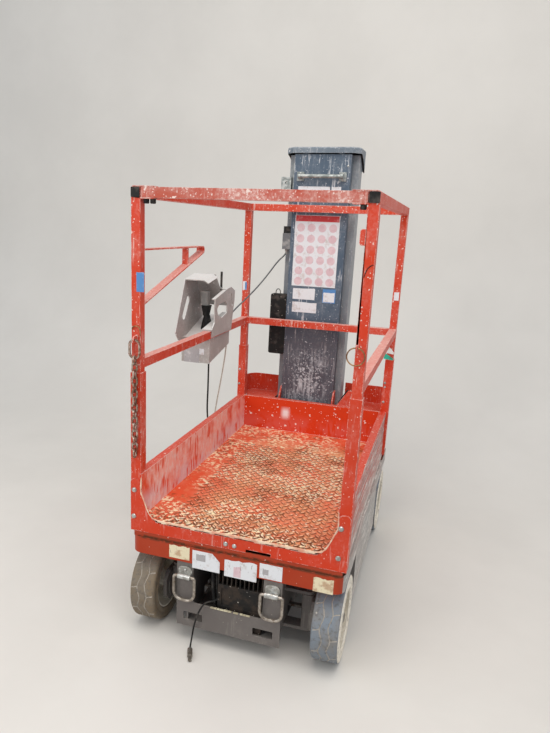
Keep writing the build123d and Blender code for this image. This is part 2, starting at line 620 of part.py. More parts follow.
rim_shape -= Rot(0, 90, 0) * Cylinder(AXLE_RADIUS + RUNNING_GAP, TYRE_WIDTH + 20)
RIM_HOLES = 5
for index in range(RIM_HOLES):
    angle = 360 / RIM_HOLES * index
    rim_shape -= Rot(angle, 0, 0) * Pos(web_x, 66, 0) * Rot(0, 90, 0) * Cylinder(15, 30)
wheels = {}
for name, side, y in WHEELS:
    place = Pos(side * WHEEL_MID, y, AXLE_Z) * Rot(0, 0, 0 if side > 0 else 180)
    wheels["rim_" + name] = place * rim_shape
    wheels["tyre_" + name] = place * tyre_shape

# Mast: nested lipped channels, open to the front


def channel(half, y0, y1, z0, z1):
    """An upright channel with a web at the back and lips at the front mouth."""
    body = block(MAST_X - half, MAST_X + half, y0, y1, z0, z1)
    room = half - PROFILE_WALL
    body -= block(MAST_X - room, MAST_X + room, y0 + PROFILE_WALL, y1 - PROFILE_WALL, z0 - 1, z1 + 1)
    body -= block(MAST_X - MOUTH_HALF, MAST_X + MOUTH_HALF, y0 - 1, y0 + PROFILE_WALL + 1, z0 - 1, z1 + 1)
    return body


STEP = PROFILE_WALL + PROFILE_GAP
COLUMN_FRONT = front(COVER_Y) + 48
COLUMN_BACK = front(MAST_BACK)
STAGE_FOOT = MAST_FOOT + 5
PAD_HEIGHT = 60
PAD_FIT = 0.1
mast_column = channel(COLUMN_HALF, COLUMN_FRONT, COLUMN_BACK, MAST_FOOT, MAST_TOP)
stages = []
for index in range(1, STAGES + 1):
    half = COLUMN_HALF - index * STEP
    y0 = COLUMN_FRONT + index * STEP
    y1 = COLUMN_BACK - index * STEP
    stage = channel(half, y0, y1, STAGE_FOOT, MAST_TOP)
    reach = half + PROFILE_GAP - PAD_FIT
    for side in (-1, 1):
        pad_x0 = MAST_X + side * (half - 1)
        pad_x1 = MAST_X + side * reach
        pad_y0 = y0 + 8
        pad_y1 = y1 - 8
        stage += block(pad_x0, pad_x1, pad_y0, pad_y1, STAGE_FOOT, STAGE_FOOT + PAD_HEIGHT)
        stage += block(pad_x0, pad_x1, pad_y0, pad_y1, STAGE_FOOT + 400, STAGE_FOOT + 400 + PAD_HEIGHT)
    stages.append(stage)

# Front cover of the last stage, joined to it by a neck through the mouths
neck_back = COLUMN_FRONT + STAGES * STEP + PROFILE_WALL
cover_y0 = front(COVER_Y)
carriage = stages[-1]
for side in (-1, 1):
    neck_in = MAST_X + side * (NECK_HALF - 5)
    neck_out = MAST_X + side * NECK_HALF
    carriage += block(neck_in, neck_out, cover_y0, neck_back, COVER_FOOT, MAST_TOP)
    tie_in = MAST_X + side * (NECK_HALF - 5)
    tie_out = MAST_X + side * (MOUTH_HALF + 2)
    carriage += block(tie_in, tie_out, neck_back - PROFILE_WALL, neck_back, COVER_FOOT, MAST_TOP)
    edge_in = MAST_X + side * (MAST_HALF - COVER_WALL)
    edge_out = MAST_X + side * MAST_HALF
    carriage += block(edge_in, edge_out, cover_y0, COLUMN_FRONT - 5, COVER_FOOT, MAST_TOP)
carriage += block(MAST_X - MAST_HALF, MAST_X + MAST_HALF, cover_y0, cover_y0 + COVER_WALL, COVER_FOOT, MAST_TOP)

# Cap over the top of the mast
CAP_OVER = 10
CAP_LIP = 26
CAP_THICK = 4
CAP_CORNER = 34
cap_x0 = MAST_X - COLUMN_HALF - CAP_OVER
cap_x1 = MAST_X + COLUMN_HALF + CAP_OVER
cap_y0 = cover_y0 - CAP_OVER
cap_y1 = COLUMN_BACK + CAP_OVER
CAP_TOP = MAST_TOP + 4 + CAP_LIP
CAP_DROP = 68
cap_low = MAST_TOP + 4
hood_plane = Plane(origin=(cap_x0, 0, 0), x_dir=(0, 1, 0), z_dir=(1, 0, 0))
hood_curve = ThreePointArc(
    (cap_y0 + 40, cap_low),
    (cap_y0 + 112, cap_low - 0.36 * CAP_DROP),
    (cap_y1, cap_low - CAP_DROP),
)
hood_side = make_face(
    [
        hood_curve,
        Polyline((cap_y1, cap_low - CAP_DROP), (cap_y1, CAP_TOP), (cap_y0, CAP_TOP), (cap_y0, cap_low), (cap_y0 + 40, cap_low)),
    ]
)
cap_plan = Pos((cap_x0 + cap_x1) / 2, (cap_y0 + cap_y1) / 2) * Rectangle(cap_x1 - cap_x0, cap_y1 - cap_y0)
cap_plan = chamfer(cap_plan.vertices().group_by(Axis.Y)[0], CAP_CORNER)
cap_room = offset(cap_plan, -CAP_THICK, kind=Kind.INTERSECTION)
cap_foot = cap_low - CAP_DROP - 10
mast_cap = extrude(hood_plane * hood_side, cap_x1 - cap_x0)
mast_cap &= extrude(Pos(0, 0, cap_foot) * cap_plan, CAP_TOP - cap_foot)
mast_cap = chamfer(mast_cap.faces().sort_by(Axis.Z)[-1].edges(), 5)
mast_cap -= extrude(Pos(0, 0, cap_foot) * cap_room, MAST_TOP + CAP_LIP - cap_foot)

# Rubber seals along the curved edges of the hood
SEAL = 5
seal_face = make_face(
    [
        hood_curve,
        Line((cap_y1, cap_low - CAP_DROP), (cap_y1, cap_low - CAP_DROP - SEAL)),
        Pos(0, -SEAL) * hood_curve,
        Line((cap_y0 + 40, cap_low - SEAL), (cap_y0 + 40, cap_low)),
    ]
)
seal_depth = CAP_THICK + 1
cap_seals = extrude(hood_plane * seal_face, seal_depth)
cap_seals += Pos(cap_x1 - cap_x0 - seal_depth, 0, 0) * cap_seals
for side in (-1, 1):
    foot_x = MAST_X + side * (NECK_HALF - 2.5)
    mast_cap += block(foot_x - 10, foot_x + 10, cover_y0 + 6, cover_y0 + 30, MAST_TOP, MAST_TOP + CAP_LIP)

# Grab handle on the cover
HANDLE_DROP = 98
HANDLE_Z = MAST_TOP - HANDLE_DROP
HANDLE_HALF = 98
handle_y = cover_y0 - 26
mast_handle = rod(
    (MAST_X - HANDLE_HALF, handle_y, HANDLE_Z), (MAST_X + HANDLE_HALF, handle_y, HANDLE_Z), 9
)
for side in (-1, 1):
    x = MAST_X + side * HANDLE_HALF
    foot = block(x - 17, x + 17, cover_y0 - 6, cover_y0, HANDLE_Z - 20, HANDLE_Z + 20)
    foot += block(x - 6, x + 6, handle_y, cover_y0, HANDLE_Z - 12, HANDLE_Z + 12)
    foot += Pos(x, handle_y, HANDLE_Z) * Rot(0, 90, 0) * Cylinder(12, 12)
    mast_handle += foot

# Boxes on the left side of the mast cover
mast_side = MAST_X - MAST_HALF
CONNECTOR_DROP = 431
CONNECTOR_BODY = 75
CONNECTOR_LID = 32
connector_low = MAST_TOP - CONNECTOR_DROP
lid_low = connector_low + CONNECTOR_BODY
connector_box = block(mast_side - 40, mast_side, cover_y0 + 4, cover_y0 + 38, connector_low, lid_low)
connector_box = fillet(connector_box.edges().filter_by(Axis.Z), 4)
connector_box += block(mast_side - 36, mast_side, cover_y0 + 6, cover_y0 + 36, lid_low, lid_low + CONNECTOR_LID)
DOCUMENT_LOW = 832
DOCUMENT_HEIGHT = 298
DOCUMENT_WIDTH = 82
document_high = DOCUMENT_LOW + DOCUMENT_HEIGHT
document_box = block(
    mast_side - DOCUMENT_WIDTH, mast_side, cover_y0 + 2, cover_y0 + 40, DOCUMENT_LOW, document_high
)
document_box = fillet(document_box.edges().filter_by(Axis.Y), 10)

# Stop bracket near the top of the mast cover
BRACKET_DROP = 186
BRACKET_HEIGHT = 86
BRACKET_REACH = 62
BRACKET_Z = MAST_TOP - BRACKET_DROP
bracket_x = mast_side - BRACKET_REACH
bracket_top = BRACKET_Z + BRACKET_HEIGHT
mast_bracket = block(bracket_x, mast_side, cover_y0 + 6, cover_y0 + 36, BRACKET_Z, BRACKET_Z + 6)
mast_bracket += block(mast_side - 5, mast_side, cover_y0 + 6, cover_y0 + 36, BRACKET_Z, bracket_top + 60)
mast_bracket += block(bracket_x, mast_side - 14, cover_y0 + 10, cover_y0 + 32, BRACKET_Z, bracket_top)
mast_bracket -= Pos(mast_side - 38, cover_y0 + 20, BRACKET_Z + 60) * Rot(90, 0, 0) * Cylinder(5, 60)
mast_handle = Compound([mast_handle, mast_bracket])

# Brackets that bolt the tray to the mast cover
CARRIER_TOP = 668
carrier = Part()
for side in (-1, 1):
    x_in = MAST_X + side * MAST_HALF
    x_out = MAST_X + side * (MAST_HALF + 6)
    x_lip = MAST_X + side * (MAST_HALF + 40)
    web_plane = Plane(origin=(min(x_in, x_out), 0, 0), x_dir=(0, 1, 0), z_dir=(1, 0, 0))
    web = make_face(
        Polyline(
            (TRAY_BACK_Y, TRAY_BOTTOM + 20),
            (COLUMN_FRONT - 6, TRAY_BOTTOM + 20),
            (COLUMN_FRONT - 6, CARRIER_TOP),
            (cover_y0 + 4, CARRIER_TOP),
            (TRAY_BACK_Y + 21, KICK_TOP + 16),
            (TRAY_BACK_Y + 21, KICK_TOP - SHEET),
            (TRAY_BACK_Y, KICK_TOP - SHEET),
            close=True,
        )
    )
    carrier += extrude(web_plane * web, 6)
    carrier += block(x_out, x_lip, TRAY_BACK_Y, TRAY_BACK_Y + 5, TRAY_BOTTOM + 20, KICK_TOP - SHEET)

# Ribbed rubber buffer behind the gusset
BUFFER_RADIUS = 8
buffer_y = gusset_y + 5 + BUFFER_RADIUS
buffer_low = (GUSSET_X + 12, buffer_y, KICK_TOP + 8)
buffer_high = (GUSSET_X + 52, buffer_y, KICK_TOP + GUSSET_RISE - 2)
rubber_buffer = rod(buffer_low, buffer_high, BUFFER_RADIUS)

# Control box, hooked over the left mid rail
box_in = -POST_X + TUBE / 2 + 6
box_y0 = front(BOX_Y)
box_y1 = front(BOX_Y + BOX_LENGTH)
rail_low = MID_RAIL_Z - TUBE / 2
rail_high = MID_RAIL_Z + TUBE / 2
rail_outer = -POST_X - TUBE / 2 - 1
rear_low = BOX_BOTTOM + BOX_RISE
DECK_FRONT = rail_low - 11
DECK_REAR = rail_high + 38
HOOD_FALL = 18
HOOD_FRONT_Y = box_y0 + 19
HOOD_REAR_Y = box_y0 + 131
FOLD_Y = box_y0 + 181
FOLD_Z = HOOD_TOP - 86
PANEL_FOOT_Y = box_y0 + 197
PANEL_FOOT_Z = HOOD_TOP - 139
PANEL_THICK = 4
side_plane = Plane(origin=(BOX_X_OUT, 0, 0), x_dir=(0, 1, 0), z_dir=(1, 0, 0))
body_side = Polyline(
    (box_y0, BOX_BOTTOM), (box_y1, rear_low), (box_y1, DECK_REAR), (box_y0, DECK_FRONT), close=True
)
control_box = extrude(side_plane * make_face(body_side), rail_outer - BOX_X_OUT)
under_side = Polyline(
    (box_y0, BOX_BOTTOM), (box_y1, rear_low), (box_y1, rail_low), (box_y0, rail_low), close=True
)
control_box += extrude(side_plane * make_face(under_side), box_in - 9 - BOX_X_OUT)
ridge_side = Polyline(
    (box_y0, rail_high), (box_y1, rail_high), (box_y1, DECK_REAR + 14), (box_y0, rail_high + 7), close=True
)
ridge_plane = side_plane.offset(rail_outer - 6 - BOX_X_OUT)
control_box += extrude(ridge_plane * make_face(ridge_side), box_in - rail_outer + 6)

# Outer cheek with a slanted slot, carried on to a tip in front of the box
cheek = make_face(
    Polyline(
        (box_y0 - 75, DECK_FRONT + 37),
        (box_y0 - 42, DECK_FRONT),
        (box_y0, DECK_FRONT - 8),
        (box_y1, DECK_FRONT - 8),
        (box_y1, DECK_REAR),
        (PANEL_FOOT_Y, PANEL_FOOT_Z),
        (FOLD_Y, FOLD_Z),
        (HOOD_REAR_Y, HOOD_TOP),
        (HOOD_FRONT_Y, HOOD_TOP - HOOD_FALL),
        close=True,
    )
)
cheek -= Pos(box_y0 + 30, 1099) * Rot(0, 0, 57) * SlotOverall(110, 30)
control_box += extrude(side_plane * cheek, PANEL_THICK)

# Hood with a bent edge, falling to the front
HOOD_WIDTH = 89
hood_low = HOOD_TOP - HOOD_FALL
hood_section = make_face(
    Polyline(
        (BOX_X_OUT, hood_low - PANEL_THICK),
        (BOX_X_OUT + HOOD_WIDTH - 1, hood_low - PANEL_THICK),
        (BOX_X_OUT + HOOD_WIDTH + 17, hood_low - 15),
        (BOX_X_OUT + HOOD_WIDTH + 20, hood_low - 12),
        (BOX_X_OUT + HOOD_WIDTH, hood_low),
        (BOX_X_OUT, hood_low),
        close=True,
    )
)
hood_start = Plane(origin=(0, HOOD_FRONT_Y, 0), x_dir=(1, 0, 0), z_dir=(0, -1, 0))
hood_way = (0, HOOD_REAR_Y - HOOD_FRONT_Y, HOOD_FALL)
control_box += extrude(hood_start * hood_section, amount=Vector(*hood_way).length, dir=hood_way)

# Folded back panel under the hood, cut away at the top beside the guard plate
back_side = Polyline(
    (HOOD_REAR_Y - 2, HOOD_TOP),
    (HOOD_REAR_Y + 2, HOOD_TOP),
    (FOLD_Y + 2, FOLD_Z),
    (PANEL_FOOT_Y + 2, PANEL_FOOT_Z),
    (PANEL_FOOT_Y - 2, PANEL_FOOT_Z),
    (FOLD_Y - 2, FOLD_Z),
    close=True,
)
back_panel = extrude(side_plane * make_face(back_side), box_in - 2 - BOX_X_OUT)
SHELF_Z = HOOD_TOP - 64
step_plane = Plane(origin=(0, HOOD_REAR_Y - 60, 0), x_dir=(1, 0, 0), z_dir=(0, -1, 0))
step = make_face(
    Polyline(
        (BOX_X_OUT + 96, HOOD_TOP + 10),
        (BOX_X_OUT + 106, SHELF_Z + 12),
        (BOX_X_OUT + 118, SHELF_Z),
        (box_in + 20, SHELF_Z - 2),
        (box_in + 20, HOOD_TOP + 10),
        close=True,
    )
)
back_panel -= extrude(step_plane * step, -200)
control_box += back_panel

# Guard plate on the platform side of the rail, with a window, a slot and a folded top
guard_plane = side_plane.offset(box_in - 5 - BOX_X_OUT)
guard = make_face(
    Polyline(
        (box_y0 + 3, rail_low + 6),
        (box_y0 + 10, rail_high + 13),
        (box_y0 + 33, rail_high + 34),
        (box_y0 + 33, FOLD_Z - 9),
        (box_y0 + 198, SHELF_Z + 3),
        (box_y0 + 234, SHELF_Z + 5),
        (box_y0 + 286, SHELF_Z - 15),
        (box_y0 + 284, SHELF_Z - 59),
        (box_y0 + 267, SHELF_Z - 115),
        (box_y0 + 250, rail_low + 6),
        close=True,
    )
)
window = make_face(
    Polyline(
        (box_y0 + 57, 1100),
        (box_y0 + 88, 1119),
        (box_y0 + 162, 1124),
        (box_y0 + 187, 1109),
        (box_y0 + 185, 1070),
        (box_y0 + 117, 1056),
        (box_y0 + 71, 1072),
        close=True,
    )
)
guard -= fillet(window.vertices(), 8)
guard -= Pos(box_y0 + 246, 1123) * Rot(0, 0, 112) * SlotOverall(62, 13)
control_box += extrude(guard_plane * guard, 5)
fold_side = Polyline(
    (box_y0 + 33, FOLD_Z - 9),
    (box_y0 + 198, SHELF_Z + 3),
    (box_y0 + 198, SHELF_Z - 1),
    (box_y0 + 33, FOLD_Z - 13),
    close=True,
)
fold_plane = side_plane.offset(box_in - 16 - BOX_X_OUT)
control_box += extrude(fold_plane * make_face(fold_side), 16)

# Glands for the cord below the box
BOX_CABLE_X = -418
BOX_CABLE_Y = box_y0 + 181
gland_low = BOX_BOTTOM + BOX_RISE * 181 / BOX_LENGTH - 10
control_box += Pos(BOX_CABLE_X, BOX_CABLE_Y, gland_low + 10) * Cylinder(9, 20)
control_box -= tube_outside((-POST_X, box_y0 - 20, MID_RAIL_Z), (-POST_X, box_y1 + 20, MID_RAIL_Z))

# Joystick with boot and grip, and a stub on the back panel
stick_x = -409
stick_y = box_y0 + 120
stick_z = DECK_FRONT + (DECK_REAR - DECK_FRONT) * 120 / BOX_LENGTH
BOOT = 62
HEAD = 44
GRIP = (36, 32, 62)
joystick = Pos(stick_x, stick_y, stick_z - 8 + BOOT / 2) * Cone(27, 14, BOOT)
head_z = stick_z - 8 + BOOT
joystick += Pos(stick_x - 3, stick_y, head_z + HEAD / 2 - 1) * Cone(14, 23, HEAD + 2)
grip = Pos(stick_x - 10, stick_y, head_z + HEAD + GRIP[2] / 2 - 1) * Box(*GRIP)
joystick += fillet(grip.edges().filter_by(Axis.Z), 8)
joystick -= control_box
STUB_LENGTH = 80
STUB_RADIUS = 5
stub_low = SHELF_Z - 6
stub_y = (FOLD_Y + HOOD_REAR_Y) / 2 + 16
control_stub = Pos(BOX_X_OUT + 110, stub_y, stub_low + STUB_LENGTH / 2) * Cylinder(STUB_RADIUS, STUB_LENGTH)
control_stub -= control_box
control_levers = Compound([joystick, control_stub])

# Cords: straight runs joined by tangent arcs


def bend_radii(points):
    """The radius of each bend, from its shorter run and its turn."""
    radii = []
    for before, corner, after in zip(points, points[1:], points[2:]):
        first = Vector(*corner) - Vector(*before)
        second = Vector(*after) - Vector(*corner)
        turn = math.radians(first.get_angle(second))
        shorter = min(first.length, second.length)
        radii.append(0.45 * shorter / math.tan(turn / 2))
    return radii


def cord(points, diameter):
    """A round cord along a route."""
    radii = bend_radii(points)
    print("cord of", diameter, "bends with radii", [round(radius) for radius in radii])
    path = FilletPolyline(*points, radius=radii)
    section = Plane(path @ 0, z_dir=path % 0) * Circle(diameter / 2)
    return sweep(section, path)


cable_x = mast_side - 20
cable_y = cover_y0 + 21
wall_x = -INNER_HALF - SHEET
CONTROL_CABLE_SIZE = 7
BOX_CABLE_SIZE = 8
LANYARD_SIZE = 6
LEAD_SIZE = 6
CONTROL_CABLE = (
    (cable_x, cable_y, connector_low),
    (cable_x, cable_y, connector_low - 23),
    (cable_x - 36, cable_y - 10, 1290),
    (cable_x - 81, cable_y - 49, 1212),
    (cable_x - 114, cable_y - 101, 1157),
    (cable_x - 142, cable_y - 161, 1113),
    (cable_x - 164, cable_y - 231, 1078),
    (cable_x - 176, box_y1 + 30, 1046),
    (cable_x - 176, box_y1, 1046),
)
BOX_CABLE = (
    (BOX_CABLE_X, BOX_CABLE_Y, gland_low),
    (BOX_CABLE_X, BOX_CABLE_Y, gland_low - 96),
    (-415, 168, 704),
    (-414, 160, 622),
    (-406, 155, 556),
    (-386, 153, 508),
    (wall_x, 153, 508),
)
LANYARD = (
    (-368, box_y1, rear_low + 10),
    (-368, box_y1 + 20, rear_low + 10),
    (-372, box_y1 + 36, 906),
    (-378, box_y1 + 39, 850),
    (-387, box_y1 + 33, 770),
    (-394, box_y1 + 18, 694),
    (-399, box_y1 - 3, 624),
    (-400, box_y1 - 22, 566),
)
CHARGE_LEAD = (
    (-48, unit_front, 200),
    (-48, unit_front - 20, 200),
    (-62, unit_front - 28, 195),
    (-83, unit_front - 30, 188),
    (-101, unit_front - 30, 165),
    (-118, unit_front - 30, 122),
    (-128, unit_front - 30, 78),
    (-132, unit_front - 32, 45),
    (-133, unit_front - 40, 20),
    (-131, unit_front - 52, 9),
    (-127, unit_front - 62, 9),
)
control_cable = cord(CONTROL_CABLE, CONTROL_CABLE_SIZE)
box_cable = cord(BOX_CABLE, BOX_CABLE_SIZE)
knot_x, knot_y, knot_z = LANYARD[-1]
box_lanyard = cord(LANYARD, LANYARD_SIZE)
box_lanyard += Pos(knot_x, knot_y, knot_z - 4) * Sphere(8)
charge_lead = cord(CHARGE_LEAD, LEAD_SIZE)
lead_end = Vector(*CHARGE_LEAD[-1])
lead_way = (lead_end - Vector(*CHARGE_LEAD[-2])).normalized()
lead_way = Vector(lead_way.X, lead_way.Y, 0).normalized()
PLUG_RADIUS = 9
charge_plug = rod(tuple(lead_end), tuple(lead_end + lead_way * 38), PLUG_RADIUS)
charge_plug += rod(tuple(lead_end + lead_way * 38), tuple(lead_end + lead_way * 58), 6.5)
charge_plug -= charge_lead
entry_chain = Compound([snap_hook, *links])
rubber_trim = Compound([*cap_seals.solids(), rubber_buffer])

NODES = {
    "platform_tray": tray,
    "guard_rail": guard_rail,
    "front_bar": front_bar,
    "rail_fittings": rail_fittings,
    "side_loop": side_loop,
    "entry_chain": entry_chain,
    "split_ring": split_ring,
    "base_apron": base_apron,
    "rear_cover_left": covers["left"],
    "rear_cover_right": covers["right"],
    "chassis": chassis,
    "front_plate": front_plate,
    "d_ring_left": rings["left"],
    "d_ring_right": rings["right"],
    "power_unit": power_unit,
    "battery_pack": battery_pack,
    "counterweight": counterweight,
    "knuckle_left": knuckles["left"],
    "knuckle_right": knuckles["right"],
    "tie_rod": tie_rod,
    "mast_column": mast_column,
    "mast_stage_lower": stages[0],
    "mast_stage_upper": stages[1],
    "mast_carriage": carriage,
    "mast_cap": mast_cap,
    "rubber_trim": rubber_trim,
    "mast_handle": mast_handle,
    "connector_box": connector_box,
    "document_box": document_box,
    "tray_carrier": carrier,
    "control_box": control_box,
    "control_levers": control_levers,
    "control_cable": control_cable,
    "box_cable": box_cable,
    "box_lanyard": box_lanyard,
    "charge_lead": charge_lead,
    "charge_plug": charge_plug,
}
NODES.update(wheels)

# The origin lies on the floor under the middle of the whole machine
LOOSE = ("control_cable", "box_cable", "box_lanyard", "charge_lead", "charge_plug")
boxes = [shape.bounding_box() for name, shape in NODES.items() if name not in LOOSE]
middle_x = (min(box.min.X for box in boxes) + max(box.max.X for box in boxes)) / 2
middle_y = (min(box.min.Y for box in boxes) + max(box.max.Y for box in boxes)) / 2
print("middle", round(middle_x, 3), round(middle_y, 3), "nodes", len(NODES))
for name, shape in NODES.items():
    export_step(Pos(-middle_x, -middle_y, 0) * shape, "parts/" + name + ".step")
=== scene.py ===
"""Looks of a vertical mast lift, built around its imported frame."""

import json
import logging
import math
import random
from collections.abc import Iterable, Sequence
from dataclasses import KW_ONLY, dataclass, field
from enum import Enum
from typing import Any

import bmesh
import bpy
from mathutils import Matrix, Vector

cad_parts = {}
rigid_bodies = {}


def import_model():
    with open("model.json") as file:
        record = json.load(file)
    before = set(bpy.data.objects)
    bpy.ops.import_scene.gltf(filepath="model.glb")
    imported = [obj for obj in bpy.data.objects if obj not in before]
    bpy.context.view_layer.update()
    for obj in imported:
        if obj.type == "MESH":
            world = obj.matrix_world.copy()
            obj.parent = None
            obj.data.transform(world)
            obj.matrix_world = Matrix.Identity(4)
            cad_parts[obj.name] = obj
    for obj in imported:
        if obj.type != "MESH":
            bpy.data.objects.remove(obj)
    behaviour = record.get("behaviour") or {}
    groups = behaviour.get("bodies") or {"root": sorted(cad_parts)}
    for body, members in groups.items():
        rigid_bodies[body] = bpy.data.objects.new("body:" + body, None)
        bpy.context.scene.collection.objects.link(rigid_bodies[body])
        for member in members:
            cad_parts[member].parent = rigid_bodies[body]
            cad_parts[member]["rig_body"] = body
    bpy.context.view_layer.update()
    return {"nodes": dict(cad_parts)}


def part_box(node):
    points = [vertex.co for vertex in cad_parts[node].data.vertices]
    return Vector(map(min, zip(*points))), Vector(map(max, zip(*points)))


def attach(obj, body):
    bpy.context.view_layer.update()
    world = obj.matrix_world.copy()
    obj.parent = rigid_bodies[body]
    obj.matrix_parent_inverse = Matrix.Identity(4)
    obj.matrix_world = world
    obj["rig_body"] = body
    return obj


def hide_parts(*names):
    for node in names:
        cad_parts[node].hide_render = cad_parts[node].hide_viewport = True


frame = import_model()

log = logging.getLogger("mast_lift")

Point = tuple[float, float, float]
Mesh = bmesh.types.BMesh
Mask = bpy.types.NodeSocket
Material = bpy.types.Material
Paints = dict[str, Material]
Piece = bpy.types.Object

# Ways to look, and a range wider than the machine
FRONT, RIGHT, LEFT, UP = (0.0, -1.0, 0.0), (1.0, 0.0, 0.0), (-1.0, 0.0, 0.0), (0.0, 0.0, 1.0)
FAR = 3000.0
ANYWHERE = (-FAR, FAR)

# The machine's own middle: the tray is even on both sides and its front sheet starts here
TRAY_LOW, TRAY_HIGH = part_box("platform_tray")
SILL_FRONT = -648.0
MIDDLE = Vector(((TRAY_LOW.x + TRAY_HIGH.x) / 2, TRAY_LOW.y - SILL_FRONT / 1000, 0.0))


def at(x: float, y: float, z: float) -> Vector:
    """Turn a place on the machine in millimetres into the frame's metres."""
    return MIDDLE + Vector((x, y, z)) / 1000


def linear(hex_colour: str) -> tuple[float, float, float, float]:
    """Turn an sRGB hex colour into linear light.

    Args:
        hex_colour: six hex digits after a hash.

    Returns:
        Red, green, blue and an alpha of one.
    """
    parts = [int(hex_colour[i : i + 2], 16) / 255 for i in (1, 3, 5)]
    r, g, b = (p / 12.92 if p <= 0.04045 else ((p + 0.055) / 1.055) ** 2.4 for p in parts)
    return (r, g, b, 1.0)


def add(
    tree: bpy.types.NodeTree, kind: str, inputs: dict[str | int, Any] | None = None, **settings: Any
) -> bpy.types.Node:
    """Add a node with its settings and links.

    Args:
        tree: the material's node tree.
        kind: the node's type name, after the word ShaderNode.
        inputs: a socket to link from, or a value, for each input.
        settings: attributes of the node.

    Returns:
        The new node.
    """
    made = tree.nodes.new("ShaderNode" + kind)
    for name, value in settings.items():
        setattr(made, name, value)
    for key, value in (inputs or {}).items():
        if isinstance(value, Mask):
            tree.links.new(value, made.inputs[key])
        else:
            made.inputs[key].default_value = value
    return made


